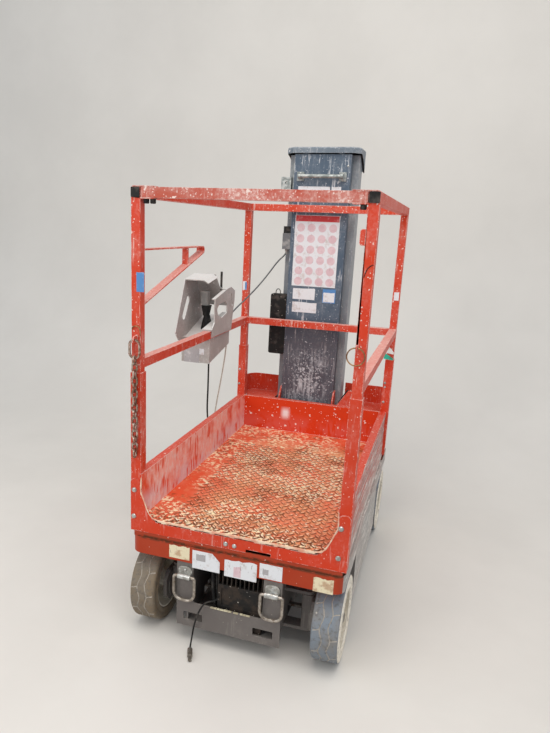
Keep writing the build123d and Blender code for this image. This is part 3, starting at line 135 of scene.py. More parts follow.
class Surface:
    """A surface built up in layers, each with its colour, roughness and height."""

    def __init__(self, name: str, colour: str, roughness: float, metallic: float = 0.0) -> None:
        """Start from the lowest layer.

        Args:
            name: the material's name.
            colour: sRGB hex of the lowest layer.
            roughness: its roughness.
            metallic: near one for bare metal.
        """
        self.material = bpy.data.materials.new(name)
        self.material.use_nodes = True
        self.material.diffuse_color = linear(colour)
        self.tree = self.material.node_tree
        self.tree.nodes.clear()
        # metal keeps the default level, and chalky old paint and dusty plastic shine less than it
        gloss = 0.5 if metallic else 0.28
        self.shader = add(self.tree, "BsdfPrincipled", {"Metallic": metallic, "Specular IOR Level": gloss})
        self.where = add(self.tree, "TexCoord").outputs["Object"]
        self.colour: Any = linear(colour)
        self.roughness: Any = roughness
        self.height: Any = 0.0

    def patches(
        self,
        size: float,
        above: float,
        soft: float = 0.05,
        stretch: Point = (1.0, 1.0, 1.0),
        seed: int = 0,
        detail: float = 5.0,
    ) -> Mask:
        """Irregular patches.

        Args:
            size: width of a patch in millimetres.
            above: how high the noise has to be, where 0.5 covers half.
            soft: width of a patch's edge, in the same measure.
            stretch: how much finer the patches are along each axis.
            seed: another number gives other patches.
            detail: how broken up they are.

        Returns:
            A mask, one inside the patches.
        """
        tree = self.tree
        shift = (seed * 1.7, seed * 2.3, seed * 3.1)
        spot = add(tree, "Mapping", {"Vector": self.where, "Location": shift, "Scale": stretch}).outputs[0]
        noise = {"Vector": spot, "Scale": 1000 / size, "Detail": detail, "Roughness": 0.62}
        cloud = add(tree, "TexNoise", noise).outputs[0]
        limits = {"Value": cloud, "From Min": above - soft, "From Max": above + soft}
        return add(tree, "MapRange", limits, interpolation_type="SMOOTHSTEP").outputs[0]

    def drops(self, spacing: float, size: float, share: float, seed: int = 0) -> Mask:
        """Splashed drops of uneven size.

        Args:
            spacing: millimetres from one possible drop to the next.
            size: radius of the largest drop as a share of the spacing.
            share: how many of the places hold a drop.
            seed: another number gives other drops.

        Returns:
            A mask, one inside the drops.
        """
        tree = self.tree
        # noise of about half a drop's width makes the drops ragged, and the seed moves them all
        noise = {"Vector": self.where, "Scale": 2200 / spacing, "Detail": 3.0}
        ragged = add(tree, "TexNoise", noise).outputs["Color"]
        offset = {0: ragged, 1: (0.0007 * spacing,) * 3, 2: (seed * 0.37, seed * 0.53, seed * 0.71)}
        shift = add(tree, "VectorMath", offset, operation="MULTIPLY_ADD").outputs[0]
        moved = add(tree, "VectorMath", {0: self.where, 1: shift}, operation="ADD").outputs[0]
        cells = add(tree, "TexVoronoi", {"Vector": moved, "Scale": 1000 / spacing})
        lot = add(tree, "SeparateColor", {0: cells.outputs["Color"]}).outputs
        sizes = {0: lot[1], 1: size * 0.8, 2: size * 0.2}
        reach = add(tree, "Math", sizes, operation="MULTIPLY_ADD").outputs[0]
        limits = {"Value": cells.outputs["Distance"], "From Min": reach, "From Max": self.both(reach, 0.7)}
        near = add(tree, "MapRange", limits).outputs[0]
        chosen = add(tree, "Math", {0: lot[0], 1: share}, operation="LESS_THAN").outputs[0]
        return self.both(near, chosen)

    def edges(self, radius: float) -> Mask:
        """The worn strip along edges.

        Args:
            radius: its width in millimetres.

        Returns:
            A mask, one on the edges.
        """
        tree = self.tree
        rounded = add(tree, "Bevel", {"Radius": radius / 1000}, samples=4).outputs[0]
        true = add(tree, "NewGeometry").outputs["Normal"]
        alike = add(tree, "VectorMath", {0: rounded, 1: true}, operation="DOT_PRODUCT").outputs["Value"]
        return add(tree, "MapRange", {"Value": alike, "From Min": 0.985, "From Max": 0.88}).outputs[0]

    def upward(self, low: float = 0.4, high: float = 0.9) -> Mask:
        """Faces that look up, where dust and spray settle.

        Args:
            low: height of the normal where it starts.
            high: height of the normal where it is full.

        Returns:
            A mask, one on what looks up.
        """
        normal = add(self.tree, "NewGeometry").outputs["Normal"]
        rise = add(self.tree, "SeparateXYZ", {0: normal}).outputs["Z"]
        return add(self.tree, "MapRange", {"Value": rise, "From Min": low, "From Max": high}).outputs[0]

    def both(self, first: Any, second: Any) -> Mask:
        """Where two masks lie on each other, or one mask made weaker."""
        return add(self.tree, "Math", {0: first, 1: second}, operation="MULTIPLY").outputs[0]

    def either(self, first: Any, second: Any) -> Mask:
        """Where at least one of two masks lies."""
        return add(self.tree, "Math", {0: first, 1: second}, operation="MAXIMUM").outputs[0]

    def band(self, axis: str, low: float, high: float, soft: float = 40.0) -> Mask:
        """A soft-edged band across one axis.

        Args:
            axis: X, Y or Z.
            low: where the band starts, in machine millimetres.
            high: where it ends.
            soft: width of its edges in millimetres.

        Returns:
            A mask, one inside the band.
        """
        place = add(self.tree, "SeparateXYZ", {0: self.where}).outputs[axis]
        start, end = (MIDDLE["XYZ".index(axis)] + edge / 1000 for edge in (low, high))
        half = soft / 1000
        rise, fall = (
            add(self.tree, "MapRange", {"Value": place, "From Min": none, "From Max": full}).outputs[0]
            for none, full in ((start - half, start + half), (end + half, end - half))
        )
        return self.both(rise, fall)

    def cover(
        self,
        mask: Mask,
        colour: str,
        roughness: float | None = None,
        height: float = 0.0,
        strength: float = 1.0,
    ) -> None:
        """Lay a coat over what is there.

        Args:
            mask: where it lies.
            colour: sRGB hex of the coat.
            roughness: its own roughness, if it has one.
            height: how far it stands up, in millimetres.
            strength: how dense it is.
        """
        if strength < 1.0:
            mask = self.both(mask, strength)
        mixed = {"Factor": mask, 6: self.colour, 7: linear(colour)}
        self.colour = add(self.tree, "Mix", mixed, data_type="RGBA").outputs[2]
        if roughness is not None:
            self.roughness = add(self.tree, "Mix", {"Factor": mask, 2: self.roughness, 3: roughness}).outputs[0]
        if height:
            self.raise_by(mask, height)

    def raise_by(self, mask: Mask, height: float) -> None:
        """Make the surface this many millimetres higher inside a mask."""
        parts = {0: mask, 1: height / 1000, 2: self.height}
        self.height = add(self.tree, "Math", parts, operation="MULTIPLY_ADD").outputs[0]

    def grain(self, size: float, height: float) -> None:
        """Fine unevenness of this size and height in millimetres."""
        cloud = add(self.tree, "TexNoise", {"Vector": self.where, "Scale": 1000 / size, "Detail": 3.0})
        self.raise_by(cloud.outputs[0], height)

    def finish(self) -> Material:
        """Link the layers to the shader.

        Returns:
            The finished material.
        """
        for name, value in (("Base Color", self.colour), ("Roughness", self.roughness)):
            if isinstance(value, Mask):
                self.tree.links.new(value, self.shader.inputs[name])
            else:
                self.shader.inputs[name].default_value = value
        if isinstance(self.height, Mask):
            relief = add(self.tree, "Bump", {"Height": self.height, "Distance": 1.0, "Strength": 1.0})
            self.tree.links.new(relief.outputs[0], self.shader.inputs["Normal"])
        add(self.tree, "OutputMaterial", {"Surface": self.shader.outputs[0]})
        return self.material


@dataclass(frozen=True)
class Finish:
    """A finish: its name, the colour of its lowest layer, and the coats that each kind of finish lays on it."""

    name: str
    base: str
    _: KW_ONLY
    roughness: float = 0.5
    metallic: float = 0.0

    def build(self) -> Material:
        """Make the material.

        Returns:
            The finished material.
        """
        made = Surface(self.name, self.base, self.roughness, self.metallic)
        self.lay(made)
        return made.finish()

    def lay(self, made: Surface) -> None:
        """Lay its coats, where it has any."""


@dataclass(frozen=True)
class WornEnamel(Finish):
    """Sprayed enamel on steel that has been misted and splashed with wall paint and been knocked."""

    # To the eye sprayed enamel gives one even colour with a soft gloss, which the mist and the drops break up
    faded: str
    splash: str = "#efe0d6"
    grime: str = "#7a3f26"
    bare: str = "#5d5550"
    haze: float = 0.4
    spots: float = 0.3
    streaks: float = 0.5
    wear: float = 0.6
    scraped: tuple[float, float] | None = None
    dust_and_top_light: float = 0.0
    _: KW_ONLY
    roughness: float = 0.42

    def lay(self, made: Surface) -> None:
        """Lay its coats.

        Args:
            made: the surface they go on.
        """
        made.cover(made.patches(320, 0.5, 0.22, detail=2.0), self.faded, self.roughness + 0.1)
        # dry mist of wall paint: a fine speckle that comes and goes over the surface
        drift = made.patches(150, 0.52, 0.16, seed=1, detail=3.0)
        speckle = made.patches(9, 0.53, 0.1, seed=7, detail=7.0)
        made.cover(drift, self.splash, 0.6, 0.0, self.haze * 0.32)
        made.cover(made.both(speckle, drift), self.splash, 0.7, 0.02, self.haze * 0.8)
        settled = made.both(speckle, made.upward(0.3, 0.9))
        made.cover(settled, self.splash, 0.7, 0.03, min(1.0, self.haze * 1.3))
        # drips and scrapes along the height
        scrape = made.both(
            made.patches(7, 0.6, 0.03, (1.0, 1.0, 0.07), 2), made.patches(110, 0.52, 0.08, seed=3)
        )
        made.cover(scrape, self.splash, 0.6, 0.05, self.streaks)
        # the upward faces are made paler all over: partly settled dust, partly painted light on the tops
        if self.dust_and_top_light:
            made.cover(made.upward(0.1, 0.6), self.splash, 0.65, 0.0, self.dust_and_top_light)
        if self.scraped:
            strokes = made.patches(13, 0.51, 0.07, (1.0, 1.0, 0.1), 12, 8.0)
            lots = made.patches(75, 0.49, 0.07, (1.0, 1.0, 0.5), 13, 4.0)
            low_down = made.band("Z", *self.scraped, 60.0)
            # painted reflection: a darker reddish-gray band over the lower mast stands in for the red parts
            # around it mirrored in the glossy enamel
            made.cover(made.band("Z", 560.0, 960.0, 60.0), "#5a4f50", None, 0.0, 0.55)
            rubbed_against = made.both(low_down, made.band("X", -100.0, 45.0, 35.0))
            flecks = made.patches(10, 0.56, 0.04, seed=15, detail=7.0)
            made.cover(made.both(rubbed_against, made.both(strokes, lots)), self.splash, 0.6, 0.05, 0.9)
            made.cover(made.both(rubbed_against, flecks), self.splash, 0.6)
            made.cover(made.both(low_down, made.drops(15, 0.3, 0.35, 14)), self.splash, 0.6)
        # splashed drops in three sizes
        for spacing, size, share, seed, height, strength in (
            (48, 0.2, 0.4, 1, 0.3, 0.95), (20, 0.24, 0.8, 2, 0.2, 0.95), (8, 0.3, 0.9, 3, 0.1, 0.85)
        ):
            made.cover(made.drops(spacing, size, self.spots * share, seed), self.splash, 0.5, height, strength)
        # edges rubbed through to primer, and chips down to dark steel
        rubbed = made.both(made.edges(3.0), made.patches(22, 0.5, 0.06, seed=4))
        made.cover(rubbed, self.splash, 0.6, -0.05, self.wear)
        chipped = made.both(made.edges(1.8), made.patches(11, 0.6, 0.03, seed=5))
        made.cover(chipped, self.bare, 0.55, -0.12, self.wear)
        made.cover(made.patches(60, 0.68, 0.06, seed=6, detail=8.0), self.grime, 0.8, 0.0, 0.4)
        made.grain(2.5, 0.03)


@dataclass(frozen=True)
class RustyShelf(Finish):
    """Enamel on a ledge where wet dirt has lain: brown crust along the height it covers."""

    # To the eye the wet dirt gives a dull brown band with a ragged upper edge on the glossy enamel
    crust: str
    low: float
    high: float
    _: KW_ONLY
    roughness: float = 0.4

    def lay(self, made: Surface) -> None:
        """Lay its coats.

        Args:
            made: the surface they go on.
        """
        made.cover(made.patches(200, 0.5, 0.2, detail=2.0), "#a93c1e", 0.5)
        ragged = made.patches(16, 0.47, 0.06, (0.4, 0.4, 1.0), 1, 8.0)
        made.cover(made.both(made.band("Z", self.low, self.high, 3.0), ragged), self.crust, 0.85, 0.3, 0.9)
        made.cover(made.both(made.upward(), made.patches(12, 0.42, 0.08, seed=2)), self.crust, 0.9, 0.3, 0.9)
        made.cover(made.drops(14, 0.24, 0.12, 3), "#eadfd4", 0.5, 0.2, 0.9)
        rubbed = made.both(made.edges(3.0), made.patches(24, 0.5, 0.06, seed=4))
        made.cover(rubbed, "#6e4636", 0.7, -0.05, 0.7)
        made.grain(2.5, 0.03)


@dataclass(frozen=True)
class ScrapedWall(Finish):
    """Enamel under a pink and white coat of wall paint, wiped off again in upright strokes."""

    # To the eye rolled wall paint gives chalky pale fields, and the scraper's strokes show the red again
    coat: str
    cover_share: float
    misted: float = 1.0
    smear: tuple[float, float, float, float] | None = None
    _: KW_ONLY
    roughness: float = 0.45

    def lay(self, made: Surface) -> None:
        """Lay its coats.

        Args:
            made: the surface they go on.
        """
        coated = made.patches(170, 1.0 - self.cover_share, 0.1, (1.0, 1.0, 0.7), 1, 6.0)
        made.cover(coated, self.coat, 0.7, 0.03, 0.85)
        lavender = made.both(made.band("Z", 400.0, 520.0, 30.0), made.patches(120, 0.47, 0.08, seed=5))
        made.cover(lavender, "#e6cdd2", 0.75, 0.03, 0.8 * self.misted)
        chalky = made.patches(14, 0.53, 0.08, (1.0, 1.0, 0.5), 2, 8.0)
        made.cover(made.both(coated, chalky), "#f3dcd6", 0.8, 0.03, 0.65)
        runs = made.patches(26, 0.575, 0.02, (1.0, 1.0, 0.14), 3, 3.0)
        here = made.patches(130, 0.48, 0.05, seed=4, detail=2.0)
        made.cover(made.both(runs, here), self.base, 0.4, -0.08, 0.95)
        made.cover(made.drops(24, 0.26, 0.35, 6), "#f6ede6", 0.5, 0.3, 0.95)
        made.cover(made.drops(9, 0.3, 0.3, 7), "#f6ede6", 0.5, 0.1, 0.85)
        if self.smear:
            x0, x1, z0, z1 = self.smear
            wiped = made.both(made.band("X", x0, x1, 10.0), made.band("Z", z0, z1, 14.0))
            made.cover(wiped, "#f2e8e9", 0.6, 0.05)
        made.cover(made.both(made.edges(5.0), made.patches(20, 0.42, 0.1, seed=8)), "#f3e9e2", 0.7, 0.0, 0.9)
        made.grain(2.0, 0.04)


@dataclass(frozen=True)
class ScuffedSide(Finish):
    """A side wall that has slid along walls: lengthwise gray and white scuffs, more of them low down."""

    # To the eye rubbing along walls gives the enamel long pale streaks with little gloss
    scuff: str
    low: float
    high: float
    _: KW_ONLY
    roughness: float = 0.5

    def lay(self, made: Surface) -> None:
        """Lay its coats.

        Args:
            made: the surface they go on.
        """
        made.cover(made.patches(120, 0.5, 0.15, (1.0, 0.3, 1.0), 1, 5.0), "#c4726a", 0.55, 0.0, 0.6)
        lengthwise = (1.0, 0.07, 1.0)
        made.cover(made.patches(16, 0.53, 0.05, lengthwise, 2, 7.0), "#9a9490", 0.6, 0.0, 0.75)
        lower = made.band("Z", -400.0, self.low, self.high - self.low)
        made.cover(lower, self.scuff, 0.65, 0.02, 0.85)
        made.cover(made.patches(9, 0.57, 0.04, lengthwise, 3, 7.0), "#e6e0da", 0.7, 0.04, 0.85)
        made.cover(made.patches(30, 0.6, 0.06, (1.0, 0.2, 1.0), 4, 8.0), "#dcd5ce", 0.7, 0.03, 0.7)
        made.cover(made.patches(7, 0.6, 0.03, lengthwise, 5, 4.0), self.base, 0.5, 0.0, 0.5)
        made.cover(made.drops(12, 0.3, 0.4, 6), "#efe9e2", 0.5, 0.2, 0.9)
        made.cover(made.edges(3.0), "#e9ded6", 0.7, 0.0, 0.6)
        made.grain(2.0, 0.04)


@dataclass(frozen=True)
class TreadGrime(Finish):
    """Tread plate whose enamel has been walked off, with cream wall paint and brown dirt trodden in."""

    # To the eye the weave keeps dirt at its feet and wears pale on its tops, which gives a coarse checked look;
    # its dark sloping sides are partly that dirt and partly painted shade
    trodden: str
    cream: str
    dirt: str
    trodden_share: float
    cream_above: float
    dirt_above: float
    flank_dirt_and_shade: str | None = None
    _: KW_ONLY
    roughness: float = 0.55

    def lay(self, made: Surface) -> None:
        """Lay its coats.

        Args:
            made: the surface they go on.
        """
        # the way people step: the middle is walked through, the margins keep their enamel
        middle = made.both(made.band("X", -205.0, 330.0, 60.0), made.band("Y", -760.0, 330.0, 60.0))
        walked = made.either(
            made.both(middle, made.patches(75, 1.0 - self.trodden_share, 0.12, seed=1, detail=6.0)),
            made.both(made.patches(26, 0.56, 0.04, seed=6, detail=8.0), self.trodden_share * 0.6),
        )
        made.cover(walked, self.trodden, 0.75, 0.03, 0.85)
        made.cover(made.patches(110, 0.52, 0.1, seed=8, detail=3.0), "#e57b5c", 0.6, 0.0, 0.45)
        # dirt and cream paint lie in fields, and everywhere behind the sill
        fields = made.patches(140, 0.56, 0.08, seed=7, detail=4.0)
        dirty = made.either(fields, made.band("Y", -760.0, -560.0, 50.0))
        specks = made.patches(13, self.dirt_above, 0.05, seed=3, detail=8.0)
        made.cover(made.both(dirty, specks), self.dirt, 0.85, 0.05, 0.85)
        fields = made.patches(180, 0.5, 0.06, seed=9, detail=3.0)
        clumps = made.either(fields, made.band("Y", -760.0, -600.0, 30.0))
        crumbs = made.patches(17, self.cream_above, 0.03, seed=2, detail=9.0)
        made.cover(made.both(clumps, crumbs), self.cream, 0.75, 0.3, 0.9)
        made.cover(made.drops(62, 0.2, 0.35, 4), "#f6ecc4", 0.6, 0.5, 0.95)
        made.cover(made.drops(17, 0.3, 0.5, 5), "#f6ead2", 0.6, 0.2, 0.85)
        # painted shade: the sloping sides of the bars are made dark brown, partly for dirt and partly for the
        # shade on them
        if self.flank_dirt_and_shade:
            made.cover(made.upward(0.97, 0.6), self.flank_dirt_and_shade, 0.85, 0.0, 0.9)
        made.grain(1.6, 0.1)


@dataclass(frozen=True)
class WornVinyl(Finish):
    """A sticker's film: faded, smeared and scratched, with nothing printed on it."""

    # To the eye printed film gives a flat, slightly glossy colour with fine scratches
    smear: str = "#b9aba4"
    smear_above: float = 0.6
    _: KW_ONLY
    roughness: float = 0.45

    def lay(self, made: Surface) -> None:
        """Lay its coats.

        Args:
            made: the surface they go on.
        """
        made.cover(made.patches(30, self.smear_above, 0.08, seed=1, detail=7.0), self.smear, 0.7, 0.0, 0.6)
        made.cover(made.patches(5, 0.66, 0.03, (1.0, 1.0, 0.2), 2), "#6f625c", 0.7, 0.0, 0.6)
        made.cover(made.drops(12, 0.22, 0.14, 3), "#f4efe8", 0.5, 0.1, 0.8)


@dataclass(frozen=True)
class SolidRubber(Finish):
    """Moulded non-marking tyre rubber, dusty and yellowed where it rolls through mud."""

    # To the eye moulded rubber gives a dull surface without highlights, and dust makes it warmer
    dust: str
    _: KW_ONLY
    roughness: float = 0.72

    def lay(self, made: Surface) -> None:
        """Lay its coats.

        Args:
            made: the surface they go on.
        """
        made.cover(made.patches(90, 0.5, 0.14, seed=1), self.dust, 0.85, 0.0, 0.7)
        made.cover(made.patches(12, 0.58, 0.05, seed=2), "#5f5a55", 0.8, -0.05, 0.5)
        made.cover(made.drops(14, 0.25, 0.12, 3), "#cfc8bb", 0.6, 0.1, 0.8)
        made.grain(1.2, 0.06)


@dataclass(frozen=True)
class DullMetal(Finish):
    """Zinc-plated or bare metal with stains and a little rust."""

    # To the eye a zinc or mill surface gives blurred highlights, and stains take them away in places
    stain: str
    rust: str = "#6f4a31"
    rust_above: float = 0.62
    _: KW_ONLY
    roughness: float = 0.45
    metallic: float = 0.85

    def lay(self, made: Surface) -> None:
        """Lay its coats.

        Args:
            made: the surface they go on.
        """
        made.cover(made.patches(18, 0.5, 0.1, seed=1), self.stain, self.roughness + 0.15)
        made.cover(made.patches(14, self.rust_above, 0.04, seed=2), self.rust, 0.85, 0.04, 0.9)
        made.cover(made.drops(11, 0.28, 0.2, 3), "#d8cfc2", 0.6, 0.1, 0.85)
        made.grain(1.0, 0.03)


@dataclass(frozen=True)
class MouldedPlastic(Finish):
    """What has a fine matte grain and dust: moulded plastic and rubber, cast iron, foam, card, thick paint."""

    # To the eye the grain of the mould gives a broad soft highlight, and dust lies in it
    dust: str = "#5b5550"
    dust_above: float = 0.58
    spots: float = 0.15
    _: KW_ONLY
    roughness: float = 0.55

    def lay(self, made: Surface) -> None:
        """Lay its coats.

        Args:
            made: the surface they go on.
        """
        made.cover(made.patches(40, self.dust_above, 0.1, seed=1), self.dust, 0.8, 0.0, 0.6)
        made.cover(made.drops(10, 0.25, self.spots, 2), "#cfc8bd", 0.6, 0.1, 0.8)
        made.grain(0.9, 0.03)


@dataclass(frozen=True)
class BraidedCord(Finish):
    """A braided cord: fine slanting strands, with the scale drawn coarse enough to show."""

    # To the eye spun yarn gives no gloss, and the shade between strands gives its pattern
    shadow: str
    _: KW_ONLY
    roughness: float = 0.85

    def lay(self, made: Surface) -> None:
        """Lay its coats.

        Args:
            made: the surface they go on.
        """
        made.cover(made.patches(2.4, 0.5, 0.05, (1.0, 1.0, 1.8), 1), self.shadow, 0.9, -0.2, 0.6)
        made.cover(made.patches(50, 0.55, 0.08, seed=2), "#8a7d6c", 0.9, 0.0, 0.5)


# Every finish of the lift, each with its material's name and the colour of its lowest layer
FINISHES: dict[str, Finish] = {
    "red": WornEnamel("red_enamel_steel", "#cf3612", "#c83c1e", haze=0.08, spots=0.3, streaks=0.25, wear=0.85),
    "red_rail": WornEnamel(
        "red_enamel_rail", "#cf3410", "#cb3f20", haze=0.15, spots=0.42, streaks=0.45, wear=1.0, dust_and_top_light=0.3,
    ),
    "red_bar": WornEnamel(
        "red_enamel_front_bar", "#b9402a", "#b25c4a", splash="#ecd6ce", haze=0.75, spots=0.95, streaks=0.2,
        wear=1.0,
    ),
    "red_side": ScuffedSide("red_enamel_outer_side", "#c04a38", "#b9b3ad", 440.0, 520.0),
    "gray_side": ScuffedSide("gray_enamel_outer_side", "#8f8a86", "#b3afaa", 400.0, 500.0),
    # the kick wall faces right; its red base and pink coat are paler than the other red enamel: painted light
    # on that wall, over its real coat of wall paint
    "red_kick": ScrapedWall("red_enamel_kick_wall_with_painted_light", "#e5502e", "#fbbfb0", 0.56),
    "red_back": ScrapedWall(
        "red_enamel_back_wall", "#d93f17", "#e27458", 0.18, 0.12, (-138.0, -102.0, 520.0, 566.0),
    ),
    "red_flange": WornEnamel(
        "red_enamel_flange", "#d24a30", "#dc8c7c", splash="#f7e8e3", haze=0.9, spots=0.8, streaks=0.2, wear=1.0,
        dust_and_top_light=0.72,
    ),
    "apron": RustyShelf("red_enamel_apron", "#a63310", "#54301c", 375.0, 381.0),
    "apron_lip": RustyShelf("red_enamel_apron_lip", "#a8381c", "#5a3520", 376.0, 386.0),
    "slate": WornEnamel(
        "slate_enamel_steel", "#475667", "#4f5f70", splash="#c4c8cd", grime="#473f3e", haze=0.2, spots=0.35,
        streaks=0.9, wear=0.5, roughness=0.36, scraped=(620.0, 830.0),
    ),
    "slate_column": WornEnamel(
        "slate_enamel_column", "#7a8087", "#8d9398", splash="#d0d2d2", grime="#57575a", haze=0.3, spots=0.12,
        streaks=0.5, wear=0.4, roughness=0.33,
    ),
    "cap": WornEnamel(
        "slate_enamel_cap", "#64707c", "#76828d", splash="#d3d5d6", grime="#4d4a4c", haze=0.35, spots=0.4,
        streaks=0.3, wear=0.6, roughness=0.4,
    ),
    "gray": WornEnamel(
        "gray_enamel_plate", "#66605d", "#6f6966", splash="#bdb7ac", grime="#4b3a2f", bare="#3a3532", haze=0.12,
        spots=0.06, streaks=0.15, wear=0.4, roughness=0.5,
    ),
    "frame_gray": WornEnamel(
        "gray_enamel_frame", "#6d6865", "#787370", splash="#8f887f", grime="#33271f", bare="#2c2826", haze=0.15,
        spots=0.06, streaks=0.2, wear=0.3, roughness=0.6,
    ),
    "pale": WornEnamel(
        "pale_gray_enamel", "#a19b97", "#aea8a4", splash="#dddcda", grime="#6d6660", bare="#57524e", haze=0.4,
        spots=0.3, streaks=0.4, wear=0.9, roughness=0.5, dust_and_top_light=0.8,
    ),
    "cream": WornEnamel(
        "cream_enamel_rim", "#cfc8ba", "#bdb4a4", splash="#ece6da", grime="#6e4c36", bare="#5c4a3d", haze=0.3,
        spots=0.2, streaks=0.2, wear=0.8, roughness=0.55,
    ),
    "floor": TreadGrime("tread_plate_base", "#df5733", "#dc9c70", "#f4e2bc", "#6b4226", 0.6, 0.53, 0.5),
    # the last colour of the bars makes their sloping sides dark: partly dirt, partly painted shade
    "lugs": TreadGrime(
        "tread_plate_bars", "#ee7a58", "#f6c49e", "#fbf0d4", "#8a5636", 0.66, 0.47, 0.62, "#6e3c22",
    ),
    # a dark patch at each bar's foot: partly dirt, partly painted shade where the bar meets the plate
    "lug_foot_dirt_and_shade": TreadGrime("tread_plate_foot_dirt_and_shade", "#c9552f", "#93603c", "#ecd6a8", "#4e2c19", 0.55, 0.6, 0.42),
    "tyre": SolidRubber("tyre_rubber_brownish", "#7d7468", "#7a6850"),
    "sidewall": SolidRubber("tyre_sidewall", "#e6ddce", "#f3ecdf"),
    "sipe_dust": SolidRubber("dust_in_sipes", "#b5aea4", "#c9c2b8"),
    "tyre_blue": SolidRubber("tyre_rubber_bluish", "#7d8690", "#837d76"),
    "zinc": DullMetal("zinc_plated_steel", "#9a958d", "#7d756c"),
    "chain": DullMetal("chain_steel", "#c4b6aa", "#85705f", "#96503a", 0.56, roughness=0.42),
    "ring": DullMetal("worn_ring_steel", "#b7afa5", "#8f867b", "#6f5a49", 0.63, roughness=0.4),
    "rail_metal": DullMetal("anodised_aluminium", "#a3a6a9", "#9b9ea1", rust_above=0.9),
    "black": MouldedPlastic("black_plastic", "#171717"),
    "iron": MouldedPlastic("black_iron", "#1d1b1a", "#463a31", roughness=0.6, dust_above=0.52, spots=0.3),
    "rubber": MouldedPlastic("black_rubber", "#1b1b1b", "#55504b", roughness=0.75),
    "jacket": MouldedPlastic("cable_jacket", "#5d6062", "#8b8a86", roughness=0.6),
    "braid": BraidedCord("braided_cord", "#cfc7ba", "#8f867a"),
    "bright": DullMetal("bright_zinc", "#c9cbc9", "#a3a29d", rust_above=0.72, roughness=0.3),
    "splashed": DullMetal("paint_splashed_metal", "#b9bdbb", "#8f9695", rust_above=0.8, roughness=0.5),
    "grip": MouldedPlastic("gray_grip", "#8d8b88", "#c9c5bf", roughness=0.4, dust_above=0.5, spots=0.3),
    "brass": DullMetal("brassy_wire", "#b58e62", "#86664a", "#6a4630", 0.6, roughness=0.4),
    "connector": MouldedPlastic(
        "connector_gray", "#6e7073", "#b4b3b0", roughness=0.5, dust_above=0.52, spots=0.3,
    ),
    "card": MouldedPlastic("white_card", "#e9ece9"),
    "teal": MouldedPlastic("teal_card", "#35b79a"),
    "vinyl_white": WornVinyl("vinyl_white", "#e0e2e6"),
    "vinyl_pink": WornVinyl("vinyl_faded_pink", "#dcc3c8", "#cfaeb6", 0.5),
    "vinyl_red": WornVinyl("vinyl_red", "#c43a3c", "#d98a8a"),
    "vinyl_blue": WornVinyl("vinyl_blue", "#5688c0", "#a9bfd6"),
    "vinyl_cream": WornVinyl("vinyl_cream", "#e4d8b8", "#a5714f", 0.54),
    "vinyl_gray": WornVinyl("vinyl_gray", "#a9a6a8", "#d8d3d3"),
    "rim_paint": MouldedPlastic(
        "built_up_wall_paint", "#ead2b8", "#cf6a4c", roughness=0.7, dust_above=0.5, spots=0.3,
    ),
    "foam": MouldedPlastic("foam_edging", "#d8d0b4", "#8f8265", roughness=0.9, dust_above=0.48, spots=0.2),
}

# Nodes that are shown as they are, by finish
NODE_FINISHES = {
    "cream": ("rim_front_left", "rim_front_right", "rim_rear_left", "rim_rear_right"),
    "red": ("tray_carrier",),
    "gray": ("knuckle_left", "knuckle_right"),
    "zinc": ("tie_rod",),
    "rail_metal": ("mast_stage_lower", "mast_stage_upper"),
    "iron": ("counterweight",),
    "black": ("battery_pack",),
}

# Nodes shown as a merged copy with rounded edges: node, finish, slot, bevel in millimetres
SOFTENED = (
    ("chassis", "frame_gray", "plate_gray", 0.8),
    ("platform_tray", "red", "red", 1.0),
    ("guard_rail", "red_rail", "red", 2.0),
    ("front_bar", "red_bar", "red", 1.5),
    ("side_loop", "red_rail", "red", 1.0),
    ("rail_fittings", "black", "black", 0.8),
    ("entry_chain", "chain", "steel", 0.0),
    ("split_ring", "brass", "steel", 0.0),
    ("base_apron", "apron", "red", 0.8),
    ("rear_cover_left", "red", "red", 1.2),
    ("rear_cover_right", "red", "red", 1.2),
    ("front_plate", "gray", "plate_gray", 1.2),
    ("d_ring_left", "ring", "steel", 0.0),
    ("d_ring_right", "ring", "steel", 0.0),
    ("power_unit", "iron", "iron", 0.8),
    ("mast_column", "slate_column", "mast_gray", 0.8),
    ("mast_carriage", "slate", "mast_gray", 1.5),
    ("mast_cap", "cap", "mast_gray", 1.2),
    ("mast_handle", "splashed", "steel", 1.5),
    ("rubber_trim", "rubber", "rubber", 1.0),
    ("connector_box", "connector", "box_gray", 1.0),
    ("document_box", "black", "black", 2.0),
    ("control_box", "pale", "box_gray", 1.0),
    ("control_levers", "black", "black", 1.5),
    ("charge_plug", "zinc", "black", 0.8),
)


def shade(mesh: Mesh, angle: float = 32.0) -> None:
    """Shade a mesh smooth, but for its sharp edges.

    Args:
        mesh: the mesh.
        angle: how many degrees an edge may turn and still be smooth.
    """
    for face in mesh.faces:
        face.smooth = True
    for edge in mesh.edges:
        edge.smooth = len(edge.link_faces) == 2 and edge.calc_face_angle(0.0) < math.radians(angle)


def paint(corners: Iterable[bmesh.types.BMVert], finish: int) -> None:
    """Give every face at these corners a material index."""
    for face in {face for corner in corners for face in corner.link_faces}:
        face.material_index = finish


def push(mesh: Mesh, extruded: dict[str, Any], way: Point | Vector) -> list[bmesh.types.BMVert]:
    """Move the new corners of an extrusion.

    Args:
        mesh: the mesh.
        extruded: what the extrusion returned.
        way: how far they move, in metres.

    Returns:
        The new corners.
    """
    corners = [item for item in extruded["geom"] if isinstance(item, bmesh.types.BMVert)]
    bmesh.ops.translate(mesh, verts=corners, vec=way)
    return corners


def show(name: str, data: Any) -> Piece:
    """Put an object with this data into the scene.

    Args:
        name: its name.
        data: its mesh, curve, lamp or camera.

    Returns:
        The new object.
    """
    made = bpy.data.objects.new(name, data)
    bpy.context.scene.collection.objects.link(made)
    return made


